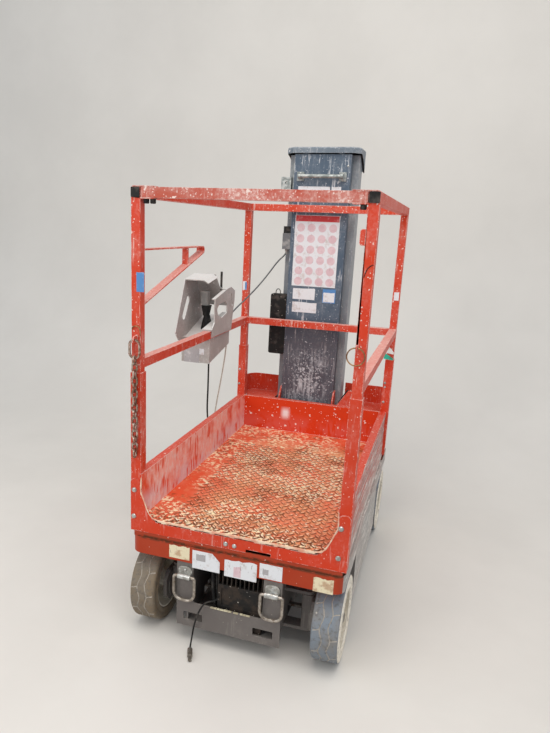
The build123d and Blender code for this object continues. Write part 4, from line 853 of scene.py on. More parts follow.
def place(
    mesh: Mesh,
    name: str,
    body: str,
    finish: Material | Sequence[Material],
    slot: str,
    bevel: float = 0.0,
    nodes: Iterable[str] = (),
) -> Piece:
    """Turn a finished mesh into a piece of the lift.

    Args:
        mesh: the mesh, in the frame's metres; it is freed.
        name: the piece's name.
        body: the body it rides on.
        finish: its material, or several for its faces' indexes.
        slot: the record's material slot; not used.
        bevel: width of its rounded edges in millimetres.
        nodes: the CAD nodes it stands for.

    Returns:
        The new object.
    """
    shade(mesh)
    data = bpy.data.meshes.new(name)
    mesh.to_mesh(data)
    mesh.free()
    for material in [finish] if isinstance(finish, Material) else finish:
        data.materials.append(material)
    piece = show(name, data)
    if bevel:
        rounding = piece.modifiers.new("rounding", "BEVEL")
        rounding.width = bevel / 1000
        rounding.segments = 2
        rounding.limit_method = "ANGLE"
        rounding.angle_limit = math.radians(35)
        rounding.harden_normals = True
    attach(piece, body)
    if nodes:
        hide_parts(*nodes)
    log.info("%s: %d faces", name, len(data.polygons))
    return piece


def merged(node: str) -> Mesh:
    """Copy a CAD node's mesh and join its loose triangles into faces.

    Args:
        node: the node's name.

    Returns:
        The copy.
    """
    mesh = bmesh.new()
    mesh.from_mesh(frame["nodes"][node].data)
    bmesh.ops.remove_doubles(mesh, verts=mesh.verts, dist=2e-5)
    bmesh.ops.dissolve_limit(mesh, angle_limit=math.radians(0.6), verts=mesh.verts, edges=mesh.edges)
    for face in mesh.faces:
        face.material_index = 0
    return mesh


@dataclass(frozen=True)
class Zone:
    """Faces of a node that get a finish of their own: where they are, in millimetres, and where they look."""

    node: str
    finish: str
    way: Point | None = None
    x: tuple[float, float] = ANYWHERE
    y: tuple[float, float] = ANYWHERE
    z: tuple[float, float] = ANYWHERE
    align: float = 0.7

    def paint(self, mesh: Mesh, index: int) -> None:
        """Give the zone's faces a material index.

        Args:
            mesh: the node's mesh.
            index: index of the zone's finish.
        """
        start, end = (at(self.x[side], self.y[side], self.z[side]) for side in (0, 1))
        for face in mesh.faces:
            middle = face.calc_center_median()
            inside = all(start[axis] <= middle[axis] <= end[axis] for axis in range(3))
            if inside and (self.way is None or face.normal.dot(Vector(self.way)) > self.align):
                face.material_index = index


ZONES = (
    Zone("platform_tray", "floor", UP, z=(449.0, 451.0)),
    Zone("platform_tray", "red_kick", RIGHT, x=(-340.0, -338.0), z=(400.0, 620.0)),
    Zone("platform_tray", "red_flange", UP, x=(-FAR, -300.0), z=(612.0, 614.0)),
    Zone("platform_tray", "red_flange", UP, x=(300.0, FAR), z=(612.0, 614.0)),
    Zone("platform_tray", "red_side", RIGHT, x=(338.0, FAR), z=(300.0, 620.0)),
    Zone("platform_tray", "red_back", FRONT, x=(-340.0, 340.0), y=(490.0, 500.0), z=(400.0, 620.0)),
    Zone("chassis", "gray_side", RIGHT, x=(370.0, FAR), z=(80.0, 320.0)),
    Zone("chassis", "gray_side", LEFT, x=(-FAR, -370.0), z=(80.0, 320.0)),
    Zone("platform_tray", "red_rail", z=(640.0, 1000.0)),
    Zone("front_plate", "bright", y=(-FAR, -646.5), z=(200.0, 310.0)),
    Zone("control_levers", "grip", x=(-460.0, -395.0), y=(60.0, 150.0), z=(1106.0, 1400.0)),
    Zone("connector_box", "black", z=(1421.0, 1500.0)),
    Zone("base_apron", "gray_side", RIGHT, x=(370.0, FAR), z=(300.0, 400.0)),
    Zone("base_apron", "gray_side", UP, x=(300.0, FAR), y=(-560.0, FAR), z=(370.0, 400.0)),
    Zone("base_apron", "gray_side", LEFT, x=(-FAR, -370.0), z=(300.0, 400.0)),
)


def block(mesh: Mesh, low: Point, high: Point) -> None:
    """Add a block between two corners in machine millimetres.

    Args:
        mesh: where it is added.
        low: its lowest corner.
        high: its highest corner.
    """
    start, end = at(*low), at(*high)
    shape = Matrix.Translation((start + end) / 2) @ Matrix.Diagonal((*(end - start), 1.0))
    bmesh.ops.create_cube(mesh, size=1.0, matrix=shape)


def ball(mesh: Mesh, middle: Point, radius: float, sides: int, rings: int) -> None:
    """Add a ball at a place in machine millimetres.

    Args:
        mesh: where it is added.
        middle: its middle.
        radius: its radius.
        sides: faces around it.
        rings: faces from pole to pole.
    """
    seat = Matrix.Translation(at(*middle))
    bmesh.ops.create_uvsphere(mesh, u_segments=sides, v_segments=rings, radius=radius / 1000, matrix=seat)


def rod(
    mesh: Mesh, start: Point, end: Point, radius: float, end_radius: float | None = None, sides: int = 20
) -> None:
    """Add a round rod or cone between two points in machine millimetres.

    Args:
        mesh: where it is added.
        start: middle of its first end.
        end: middle of its second end.
        radius: radius at the first end.
        end_radius: radius at the second end, if it tapers.
        sides: faces around it.
    """
    first, second = at(*start), at(*end)
    along = second - first
    turn = along.to_track_quat("Z", "Y").to_matrix().to_4x4()
    bmesh.ops.create_cone(
        mesh,
        cap_ends=True,
        segments=sides,
        radius1=radius / 1000,
        radius2=(radius if end_radius is None else end_radius) / 1000,
        depth=along.length,
        matrix=Matrix.Translation((first + second) / 2) @ turn,
    )


def wire(mesh: Mesh, spots: Sequence[Point], radius: float, sides: int) -> None:
    """Add a bent wire as a row of rods.

    Args:
        mesh: where it is added.
        spots: where it bends, in machine millimetres.
        radius: its radius.
        sides: faces around it.
    """
    for start, end in zip(spots, spots[1:]):
        rod(mesh, start, end, radius, sides=sides)


def bolt(mesh: Mesh, seat: Point, way: Point, radius: float, height: float) -> None:
    """Add a round bolt head with a domed top.

    Args:
        mesh: where it is added.
        seat: middle of its underside, in machine millimetres.
        way: the direction it stands up.
        radius: radius of its head.
        height: height of its head.
    """
    up = Vector(way).normalized() * height
    # shares of the height and radius, from the underside to the top
    dome = ((0.0, 1.0), (0.35, 0.98), (0.7, 0.8), (1.0, 0.35))
    for (low, wide), (high, narrow) in zip(dome, dome[1:]):
        start, end = (tuple(Vector(seat) + up * share) for share in (low, high))
        rod(mesh, start, end, radius * wide, radius * narrow, 14)


@dataclass(frozen=True)
class Lamp:
    """A square soft lamp: its place and aim in metres, the length of its sides, and its power in watts."""

    name: str
    place: Point
    aim: Point
    side: float
    power: float
    colour: str = "#fff8ef"

    def build(self) -> None:
        """Hang it up and turn it to its aim."""
        lamp = bpy.data.lights.new(self.name, "AREA")
        lamp.size, lamp.energy, lamp.color = self.side, self.power, linear(self.colour)[:3]
        holder = show(self.name, lamp)
        holder.location = self.place
        holder.rotation_mode = "QUATERNION"
        holder.rotation_quaternion = (Vector(self.aim) - Vector(self.place)).to_track_quat("-Z", "Y")


@dataclass
class Studio:
    """The floor, backdrop, lamps and camera, in metres but for the camera's place, which is in millimetres."""

    reach: float = 7.0
    bend: float = 1.6
    wall: float = 2.6
    wall_height: float = 6.0
    floor_colour: str = "#dcd9d4"
    lamps: tuple[Lamp, ...] = (
        Lamp("lamp_over", (0.6, -1.6, 4.6), (0.0, 0.0, 0.6), 3.2, 130.0),
        Lamp("lamp_front", (-2.6, -4.0, 2.6), (0.0, 0.0, 0.8), 2.6, 60.0),
    )
    sky: tuple[str, float] = ("#dfe6ee", 0.72)
    camera_place: Point = (573.0, -2425.0, 1446.0)
    yaw: float = 18.289
    pitch: float = 14.898
    roll: float = 2.2267
    focal_pixels: float = 620.4
    middle_pixel: tuple[float, float] = (234.8, 390.7)
    image: tuple[int, int] = (550, 733)
    sensor: float = 36.0

    def build(self) -> None:
        """Make them all."""
        self.camera()
        self.backdrop()
        self.light()

    def backdrop(self) -> None:
        """A pale floor that curves up into a wall behind the lift."""
        mesh = bmesh.new()
        turns = [math.pi / 24 * step for step in range(1, 13)]
        start = self.wall - self.bend
        curve = [(start + self.bend * math.sin(turn), self.bend * (1 - math.cos(turn))) for turn in turns]
        line = [(-self.reach, 0.0), (start, 0.0), *curve, (self.wall, self.wall_height)]
        verts = [mesh.verts.new((-self.reach, y, z)) for y, z in line]
        edges = [mesh.edges.new(pair) for pair in zip(verts, verts[1:])]
        push(mesh, bmesh.ops.extrude_edge_only(mesh, edges=edges), (2 * self.reach, 0.0, 0.0))
        bmesh.ops.recalc_face_normals(mesh, faces=mesh.faces)
        if min(mesh.faces, key=lambda face: face.calc_center_median().z).normal.z < 0:
            bmesh.ops.reverse_faces(mesh, faces=mesh.faces)
        for face in mesh.faces:
            face.smooth = True
        data = bpy.data.meshes.new("studio_floor")
        mesh.to_mesh(data)
        mesh.free()
        surface = Surface("studio_paper", self.floor_colour, 0.9)
        surface.cover(surface.patches(900, 0.5, 0.2), "#d6d3ce", 0.9)
        data.materials.append(self.one_sided(surface))
        show("studio_floor", data)

    def one_sided(self, surface: Surface) -> Material:
        """Finish a surface that can be looked through from its back.

        Args:
            surface: the layers of its front.

        Returns:
            The material.
        """
        material = surface.finish()
        tree = material.node_tree
        behind = add(tree, "NewGeometry").outputs["Backfacing"]
        clear = add(tree, "BsdfTransparent").outputs[0]
        sides = add(tree, "MixShader", {0: behind, 1: surface.shader.outputs[0], 2: clear}).outputs[0]
        output = next(node for node in tree.nodes if node.type == "OUTPUT_MATERIAL")
        tree.links.new(sides, output.inputs["Surface"])
        return material

    def light(self) -> None:
        """Soft daylight from above and in front, as under a clouded sky."""
        world = bpy.data.worlds.new("studio_sky")
        bpy.context.scene.world = world
        world.use_nodes = True
        world.node_tree.nodes.clear()
        colour, strength = self.sky
        sky = add(world.node_tree, "Background", {"Color": linear(colour), "Strength": strength}).outputs[0]
        add(world.node_tree, "OutputWorld", {"Surface": sky})
        for lamp in self.lamps:
            lamp.build()

    def camera(self) -> None:
        """The camera at the photograph's place and angle."""
        yaw, pitch, roll = (math.radians(value) for value in (self.yaw, self.pitch, self.roll))
        ahead = Vector((-math.sin(yaw) * math.cos(pitch), math.cos(yaw) * math.cos(pitch), -math.sin(pitch)))
        right = Vector((math.cos(yaw), math.sin(yaw), 0.0))
        up = right.cross(ahead)
        right, up = right * math.cos(roll) + up * math.sin(roll), up * math.cos(roll) - right * math.sin(roll)
        lens = bpy.data.cameras.new("camera")
        width, height = self.image
        lens.sensor_width = self.sensor
        lens.lens = self.sensor * self.focal_pixels / height
        lens.shift_x = (width / 2 - self.middle_pixel[0]) / height
        lens.shift_y = (self.middle_pixel[1] - height / 2) / height
        holder = show("camera", lens)
        turn = Matrix((right, up, -ahead)).transposed().to_4x4()
        holder.matrix_world = Matrix.Translation(at(*self.camera_place)) @ turn
        scene = bpy.context.scene
        scene.camera = holder
        scene.view_settings.view_transform = "Standard"


class End(Enum):
    INTO_THE_LIFT = "object"
    KNOT = "knot"
    CONNECTOR = "connector"


class Stiffness(Enum):
    MEDIUM = "medium"
    LIMP = "limp"


class Lay(Enum):
    HANGING = "hanging"
    LOOSE = "loose"


@dataclass(frozen=True)
class Cord:
    """A free cord along its route, with its diameter and its length along its middle in millimetres."""

    node: str
    name: str
    body: str
    finish: str
    slot: str
    diameter: float
    length: float
    end: End
    stiffness: Stiffness
    lay: Lay
    route: Sequence[Point]

    def build(self, finishes: Paints, with_pieces: Sequence[Piece] = ()) -> None:
        """Lay a smooth curve through the route.

        Args:
            finishes: the lift's materials.
            with_pieces: what hangs on the cord; not used.
        """
        curve = bpy.data.curves.new(self.name, "CURVE")
        curve.dimensions = "3D"
        curve.bevel_depth = self.diameter / 2000
        curve.bevel_resolution = 3
        curve.resolution_u = 8
        curve.use_fill_caps = True
        spline = curve.splines.new("NURBS")
        spline.points.add(len(self.route) - 1)
        for point, spot in zip(spline.points, self.route):
            point.co = (*at(*spot), 1.0)
        spline.order_u = 3
        spline.use_endpoint_u = True
        curve.materials.append(finishes[self.finish])
        line = show(self.name, curve)
        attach(line, self.body)
        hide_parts(self.node)
        log.info("%s: %.0f mm", self.name, self.length)


CORDS = (
    Cord(
        "control_cable", "control_cable_jacket", "platform", "jacket", "cable_gray", 7.0, 512.0,
        End.INTO_THE_LIFT, Stiffness.MEDIUM, Lay.HANGING,
        (
            (-181, 571, 1345), (-181, 571, 1322), (-217, 561, 1290), (-262, 522, 1212), (-295, 470, 1157),
            (-323, 410, 1113), (-345, 340, 1078), (-357, 275, 1046), (-357, 245, 1046),
        ),
    ),
    Cord(
        "box_cable", "box_cable_jacket", "platform", "rubber", "rubber", 8.0, 428.0,
        End.INTO_THE_LIFT, Stiffness.MEDIUM, Lay.HANGING,
        (
            (-418, 176, 896.752), (-418, 176, 800.752), (-415, 168, 704), (-414, 160, 622), (-406, 155, 556),
            (-386, 153, 508), (-341.8, 153, 508),
        ),
    ),
    Cord(
        "box_lanyard", "box_lanyard_braid", "platform", "braid", "cord_white", 6.0, 392.0,
        End.KNOT, Stiffness.LIMP, Lay.HANGING,
        (
            (-368, 245, 930), (-368, 265, 930), (-372, 281, 906), (-378, 284, 850), (-387, 278, 770),
            (-394, 263, 694), (-399, 242, 624), (-400, 223, 566),
        ),
    ),
    Cord(
        "charge_lead", "charge_lead_jacket", "base", "rubber", "rubber", 6.0, 260.0,
        End.CONNECTOR, Stiffness.LIMP, Lay.LOOSE,
        (
            (-48, -632, 200), (-48, -652, 200), (-62, -660, 195), (-83, -662, 188), (-101, -662, 165),
            (-118, -662, 122), (-128, -662, 78), (-132, -664, 45), (-133, -672, 20), (-131, -684, 9),
            (-127, -694, 9),
        ),
    ),
)


@dataclass
class Cords:
    """The cords of the lift and what is on them."""

    finishes: Paints
    knot_middle: Point = (-400.0, 223.0, 562.0)
    knot_radius: float = 8.0

    def build(self, plug: Piece) -> None:
        """Lay the four cords.

        Args:
            plug: the connector on the charge lead.
        """
        hung = {"box_lanyard": (self.knot(),), "charge_lead": (plug,)}
        for cord in CORDS:
            cord.build(self.finishes, hung.get(cord.node, ()))

    def knot(self) -> Piece:
        """Make the overhand knot at the end of the lanyard.

        Returns:
            The knot.
        """
        mesh = bmesh.new()
        ball(mesh, self.knot_middle, self.knot_radius, 20, 12)
        return place(mesh, "lanyard_knot", "platform", self.finishes["braid"], "cord_white")


@dataclass
class Rigid:
    """CAD nodes that keep their shape and only get rounded edges and a finish."""

    finishes: Paints
    made: dict[str, Piece] = field(default_factory=dict)

    def build(self) -> None:
        """Dress every node that no other class replaces."""
        for finish, names in NODE_FINISHES.items():
            for name in names:
                slots = frame["nodes"][name].data.materials
                slots.clear()
                slots.append(self.finishes[finish])
        for name, finish, slot, bevel in SOFTENED:
            mesh = merged(name)
            materials = [self.finishes[finish]]
            for zone in (zone for zone in ZONES if zone.node == name):
                zone.paint(mesh, len(materials))
                materials.append(self.finishes[zone.finish])
            body = frame["nodes"][name]["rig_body"]
            self.made[name] = place(mesh, name + "_body", body, materials, slot, bevel, (name,))


@dataclass
class CheckerBars:
    """The raised bars of the tread plate, laid in a weave, with a dark patch at each bar's foot: partly dirt,
    partly painted shade.
    """

    finishes: Paints
    low: tuple[float, float] = (-238.0, -630.0)
    high: tuple[float, float] = (326.0, 238.0)
    pitch: float = 34.5
    length: float = 25.0
    width: float = 8.5
    height: float = 2.4
    top_share: float = 0.66
    foot_patch_length: float = 29.0
    foot_patch_width: float = 16.5
    foot_patch_height: float = 0.35
    foot_patch_top_share: float = 0.94
    floor_z: float = 450.0
    sunk: float = 0.3
    sides: int = 10

    def build(self) -> None:
        """Lay every bar, turned one way in one row and the other way in the next."""
        mesh = bmesh.new()
        rows = int((self.high[1] - self.low[1]) / (self.pitch / 2)) + 1
        columns = int((self.high[0] - self.low[0]) / self.pitch) + 1
        for row in range(rows):
            odd = row % 2
            for column in range(columns):
                x = self.low[0] + column * self.pitch + odd * self.pitch / 2
                y = self.low[1] + row * self.pitch / 2
                self.bar(mesh, (min(x, self.high[0]), y), math.radians(-45 if odd else 45))
        place(mesh, "floor_tread_bars", "platform", [self.finishes["lugs"], self.finishes["lug_foot_dirt_and_shade"]], "red")

    def bar(self, mesh: Mesh, middle: tuple[float, float], turn: float) -> None:
        """Add one bar with sloping sides and the dark patch at its foot, partly dirt and partly painted shade.

        Args:
            mesh: where it is added.
            middle: its place on the floor, in machine millimetres.
            turn: its direction in radians.
        """
        lug = (self.length, self.width, self.height, self.top_share)
        # the patch at the bar's foot is darker than the plate: partly dirt, partly painted shade where the bar
        # meets the plate
        dirt = (self.foot_patch_length, self.foot_patch_width, self.foot_patch_height, self.foot_patch_top_share)
        for finish, (length, width, height, top_share) in enumerate((lug, dirt)):
            size = Matrix.Diagonal((length / 2000, width / 2000, (height + self.sunk) / 1000, 1.0))
            seat = Matrix.Translation(at(*middle, self.floor_z + (height - self.sunk) / 2))
            made = bmesh.ops.create_cone(
                mesh, cap_ends=True, segments=self.sides, radius1=1.0, radius2=top_share, depth=1.0,
                matrix=seat @ Matrix.Rotation(turn, 4, "Z") @ size,
            )
            paint(made["verts"], finish)


@dataclass(frozen=True)
class Sticker:
    """A thin blank sticker on a flat face."""

    finish: str
    middle: Point
    size: tuple[float, float]
    torn: float = 0.0
    thick: float = 0.4
    sunk: float = 0.2
    clipped: bool = False
    sides: int = 0

    def outline(self, lot: random.Random) -> list[tuple[float, float]]:
        """Cut its outline: a box with a torn upper edge or a clipped corner, or a round.

        Args:
            lot: the draw for torn edges.

        Returns:
            Places across and up from its middle, in millimetres.
        """
        half_w, half_h = self.size[0] / 2, self.size[1] / 2
        if self.sides:
            turns = [2 * math.pi * step / self.sides for step in range(self.sides)]
            return [(half_w * math.cos(turn), half_h * math.sin(turn)) for turn in turns]
        upper = [(half_w, half_h), (-half_w, half_h)]
        if self.torn:
            parts, depth, upper = 9, 0.0, []
            for part in range(parts + 1):
                depth = min(self.torn, max(0.0, depth + (lot.random() - 0.5) * self.torn))
                upper.append((half_w - 2 * half_w * part / parts, half_h - depth))
        if self.clipped:
            upper[:1] = [(half_w, half_h - 0.4 * self.size[1]), (half_w * 0.45, half_h)]
        return [(-half_w, -half_h), (half_w, -half_h), *upper]

    def add_to(self, mesh: Mesh, index: int, lot: random.Random) -> None:
        """Lay the sticker on its place, where it looks to the front.

        Args:
            mesh: where it is added.
            index: index of its material.
            lot: the draw for torn edges.
        """
        out = Vector(FRONT)
        seat = Vector(self.middle) - out * self.sunk
        verts = [mesh.verts.new(at(*(seat + Vector((x, 0.0, y))))) for x, y in self.outline(lot)]
        sheet = mesh.faces.new(verts)
        raised = bmesh.ops.extrude_face_region(mesh, geom=[sheet])
        corners = push(mesh, raised, out * (self.thick + self.sunk) / 1000)
        sheet.normal_flip()
        paint(verts + corners, index)


STICKERS = {
    "apron_stickers": ("base", "red", (
        Sticker("vinyl_cream", (-192, -651, 350), (76, 50), 7),
        Sticker("vinyl_white", (-93, -651, 336), (100, 68), clipped=True),
        Sticker("vinyl_gray", (-112, -651, 346), (34, 26), 4, thick=0.5),
        Sticker("vinyl_white", (31, -651, 333), (114, 70), 9),
        Sticker("vinyl_pink", (20, -651, 322), (26, 40), 4, thick=0.5),
        Sticker("vinyl_white", (136, -651, 347), (78, 54), 2),
        Sticker("vinyl_gray", (118, -651, 346), (20, 24), 5, thick=0.5),
        Sticker("vinyl_cream", (311, -651, 340), (66, 52), 9),
    )),
    "mast_signs": ("platform", "mast_gray", (
        Sticker("vinyl_white", (-35, 550, 1341), (212, 330)),
        Sticker("vinyl_red", (-35, 550, 1491), (206, 27), thick=0.6),
        *(
            Sticker("vinyl_pink", (51 * column - 111.5, 550, 1449 - 50 * row), (38, 38), thick=0.6, sides=16)
            for column in range(4)
            for row in range(6)
        ),
        Sticker("vinyl_white", (-78, 550, 1139), (108, 54), 3),
        Sticker("vinyl_white", (-72, 550, 1074), (120, 50), 3),
        Sticker("vinyl_blue", (45, 550, 1136), (62, 66), 2),
        Sticker("vinyl_white", (45, 550, 1130), (54, 46), 3, thick=0.6),
        Sticker("vinyl_white", (-62, 550, 1627), (150, 15), 1),
        Sticker("vinyl_white", (42, 550, 1627), (44, 15), 1),
    )),
    "rail_labels": ("platform", "red", (
        Sticker("vinyl_blue", (-345, -641.9, 1262), (27, 62), 2),
        Sticker("vinyl_white", (-365, 502.1, 1164), (18, 42), 3),
        Sticker("vinyl_blue", (-358, 502.1, 1162), (9, 38), 3, thick=0.6),
        Sticker("vinyl_white", (362, 502.1, 1163), (22, 40), 3),
    )),
    "cover_labels": ("base", "red", (
        Sticker("vinyl_white", (279, 545, 559), (26, 22), 4),
        Sticker("vinyl_blue", (286, 545, 482), (20, 18), 3),
    )),
    "box_labels": ("platform", "box_gray", (
        Sticker("vinyl_gray", (-428, -5, 901), (70, 60), 6),
        Sticker("vinyl_white", (-383, -5, 922), (22, 26), 3),
    )),
}


@dataclass
class Stickers:
    """Every sticker, gathered into one piece for each part of the lift."""

    finishes: Paints
    seed: int = 40

    def build(self) -> None:
        """Lay the stickers."""
        for number, (name, (body, slot, stickers)) in enumerate(STICKERS.items()):
            mesh = bmesh.new()
            lot = random.Random(self.seed + number)
            names = sorted({sticker.finish for sticker in stickers})
            for sticker in stickers:
                sticker.add_to(mesh, names.index(sticker.finish), lot)
            place(mesh, name, body, [self.finishes[item] for item in names], slot)


# Bolt heads: seat, radius, height and, where they don't look to the front, the way they stand
BOLTS = (
    ("tray_bolts", "platform", (
        ((-366, -648, 551), 9.0, 6.0), ((-368, -648, 452), 9.0, 6.0), ((351, -648, 547), 9.0, 6.0),
        ((350, -648, 445), 9.0, 6.0), ((-26, -648, 416), 8.5, 6.0), ((5, -648, 414), 8.0, 5.0),
        ((-371, 498.9, 744), 6.0, 4.0), ((-371, 498.9, 669), 6.0, 4.0), ((350, 498.9, 755), 6.0, 4.0),
        ((352, 498.9, 735), 5.0, 4.0), ((352, 498.9, 662), 6.0, 4.0), ((377, -626, 900), 7.0, 3.0, RIGHT),
        ((377, 518, 830), 7.0, 3.0, RIGHT),
    )),
    ("plate_bolts", "base", (
        ((-169, -651, 286), 6.5, 5.0), ((145, -651, 286), 6.5, 5.0),
    )),
    ("mast_bolts", "platform", (
        ((-128, 544, 1690), 5.5, 4.0), ((-128, 544, 1666), 5.5, 4.0), ((68, 544, 1690), 5.5, 4.0),
        ((68, 544, 1666), 5.5, 4.0), ((88, 550, 1600), 5.0, 3.0), ((88, 550, 1725), 5.0, 3.0),
        ((-148, 550, 1540), 5.0, 3.0), ((88, 550, 1000), 5.0, 3.0), ((-148, 550, 1000), 5.0, 3.0),
    )),
)


@dataclass
class Bolts:
    """Bolt heads of the tray, the plate and the mast."""

    finishes: Paints

    def build(self) -> None:
        """Set every bolt head."""
        for name, body, rows in BOLTS:
            mesh = bmesh.new()
            for seat, radius, height, *way in rows:
                bolt(mesh, seat, way[0] if way else FRONT, radius, height)
            place(mesh, name, body, self.finishes["bright"], "steel")


@dataclass
class Trim:
    """Small fittings, and what lies along the edges: sheets, paint, dust, foam, hoses, wires and a card."""

    finishes: Paints
    skin_x: tuple[float, float] = (366.8, 368.6)
    skin_hem_x: tuple[float, float] = (368.4, 370.2)
    skin_y: tuple[float, float] = (-606.0, 498.0)
    skin_z: tuple[float, float] = (388.0, 600.5)
    skin_hem_top: float = 400.0
    doorway: tuple[tuple[float, float], ...] = (
        (-340.0, 600.0), (-342, 560), (-342, 546), (-318, 486), (-307, 466), (-296, 455), (-276, 450.6)
    )
    doorway_y: float = -647.0
    sill_half: float = 277.0
    notch: tuple[float, float] = (-74.0, 66.0)
    card_thick: float = 0.8

    def build(self) -> None:
        """Make the fittings."""
        self.hoses()
        self.foam()
        self.reliefs()
        self.skins()
        self.doorway_rim()
        self.apron_lip()
        self.wires()
        self.card()

    def hoses(self) -> None:
        """Two dark hoses that run down beside the power unit."""
        mesh = bmesh.new()
        for x, y, radius in ((-78, -612, 6.0), (-66, -604, 5.0)):
            bends = ((0, 14, 312), (-2, 0, 270), (1, -4, 215), (7, -2, 170), (16, 10, 140))
            spots = [(x + aside, y + back, z) for aside, back, z in bends]
            wire(mesh, spots, radius, 14)
            for spot in spots[1:]:
                ball(mesh, spot, radius, 14, 8)
        place(mesh, "power_unit_hoses", "base", self.finishes["rubber"], "rubber")

    def foam(self) -> None:
        """A torn strip of foam edging along the lower edge of the plate's notch."""
        mesh = bmesh.new()
        lot = random.Random(7)
        x, end = self.notch
        while x < end:
            width = 8.0 + 16.0 * lot.random()
            rise = 0.6 + 1.8 * lot.random()
            block(mesh, (x, -648.4, 157.5), (min(x + width, end + 4.0), -641.5, 160.0 + rise))
            x += width + (1.0 if lot.random() < 0.8 else 7.0)
        place(mesh, "notch_foam_edging", "base", self.finishes["foam"], "rubber", 0.8)

    def reliefs(self) -> None:
        """Strain reliefs where the cords leave their boxes, and the grommet in the side sheet."""
        mesh = bmesh.new()
        rod(mesh, (-181, 571, 1345.5), (-181, 571, 1336), 9.0, 8.0)
        rod(mesh, (-181, 571, 1336), (-181, 571, 1322), 7.0, 4.6)
        rod(mesh, (-357, 244.8, 1046), (-357, 256, 1046), 8.0, 6.0)
        place(mesh, "cable_strain_reliefs", "platform", self.finishes["grip"], "box_gray", 0.5)
        mesh = bmesh.new()
        rod(mesh, (-366, 153, 508), (-372, 153, 508), 9.0, 7.5)
        place(mesh, "skin_grommet", "platform", self.finishes["rubber"], "rubber", 0.5)

    def skins(self) -> None:
        """The outer side sheets of the tray, which hang from the folded tops of its kick walls."""
        mesh = bmesh.new()
        (back, front), (bottom, top) = self.skin_y, self.skin_z
        for side in (-1, 1):
            for across, upper in ((self.skin_x, top), (self.skin_hem_x, self.skin_hem_top)):
                inner, outer = sorted(side * x for x in across)
                block(mesh, (inner, back, bottom), (outer, front, upper))
        place(mesh, "tray_side_skins", "platform", self.finishes["red_side"], "red", 0.5)

    def doorway_rim(self) -> None:
        """Built-up wall paint along the edge of the doorway's sheet, in uneven beads and runs."""
        mesh = bmesh.new()
        spots = [*self.doorway, *((-x, z) for x, z in reversed(self.doorway))]
        lot = random.Random(11)
        y = self.doorway_y
        for (x0, z0), (x1, z1) in zip(spots, spots[1:]):
            parts = max(1, round(math.hypot(x1 - x0, z1 - z0) / 14))
            for part in range(parts):
                start, end = (
                    (x0 + (x1 - x0) * share, y, z0 + (z1 - z0) * share - 0.6)
                    for share in (part / parts, (part + 1) / parts)
                )
                rod(mesh, start, end, 1.7 + 1.2 * lot.random(), sides=8)
        x, end = -self.sill_half, self.sill_half
        while x < end:
            width = 9.0 + 22.0 * lot.random()
            block(mesh, (x, y - 2.3, 446.0 - 4.5 * lot.random()), (min(x + width, end), y - 0.5, 449.4))
            x += width
        place(mesh, "doorway_paint_rim", "platform", self.finishes["rim_paint"], "red")

    def wires(self) -> None:
        """A bent brass wire on the left post, a dark one on the right post, and the document box's hook."""
        for name, finish, slot, radius, sides, spots in (
            ("bent_post_wire", "brass", "steel", 1.7, 10, (
                (-374, -644, 1111), (-370, -646, 1118), (-361, -647, 1122), (-352, -647, 1121),
                (-345, -647, 1114), (-343, -646, 1103), (-344, -645, 1089),
            )),
            ("thin_post_wire", "black", "black", 1.2, 8, (
                (351, -641.5, 1319), (354, -642.5, 1333), (359, -642.5, 1344), (366, -642.5, 1351),
                (374, -641.5, 1355),
            )),
            ("document_box_hook", "black", "black", 2.0, 10, (
                (-222, 571, 1129), (-222, 571, 1142), (-216, 571, 1152), (-206, 571, 1152), (-200, 571, 1142),
                (-200, 571, 1129),
            )),
        ):
            mesh = bmesh.new()
            wire(mesh, spots, radius, sides)
            place(mesh, name, "platform", self.finishes[finish], slot)

    def card(self) -> None:
        """A folded card tucked behind the right rail."""
        mesh = bmesh.new()
        for finish, (tip, low) in enumerate((((352, 473, 938), 905), ((336, 473, 905), 876))):
            corners = (tip, (336, 470, low), (378, 476, low - 6), (378, 476, low + 4))
            front = [mesh.verts.new(at(*corner)) for corner in corners]
            grown = bmesh.ops.extrude_face_region(mesh, geom=[mesh.faces.new(front)])
            paint(front + push(mesh, grown, (0.0, self.card_thick / 1000, 0.0)), finish)
        bmesh.ops.recalc_face_normals(mesh, faces=mesh.faces)
        place(mesh, "folded_rail_card", "platform", [self.finishes["card"], self.finishes["teal"]], "box_gray")

    def apron_lip(self) -> None:
        """The folded lip of the apron just under the tray's sill, and the dust on its side ledges."""
        mesh = bmesh.new()
        block(mesh, (-368.0, -646.0, 377.5), (368.0, -640.0, 399.0))
        place(mesh, "apron_lip", "base", self.finishes["apron_lip"], "red", 1.0)
        mesh = bmesh.new()
        for inner, outer in ((-376.5, -346.0), (346.0, 376.5)):
            block(mesh, (inner, -610.0, 378.6), (outer, 470.0, 380.4))
        place(mesh, "apron_ledge_dust", "base", self.finishes["gray_side"], "plate_gray", 0.5)


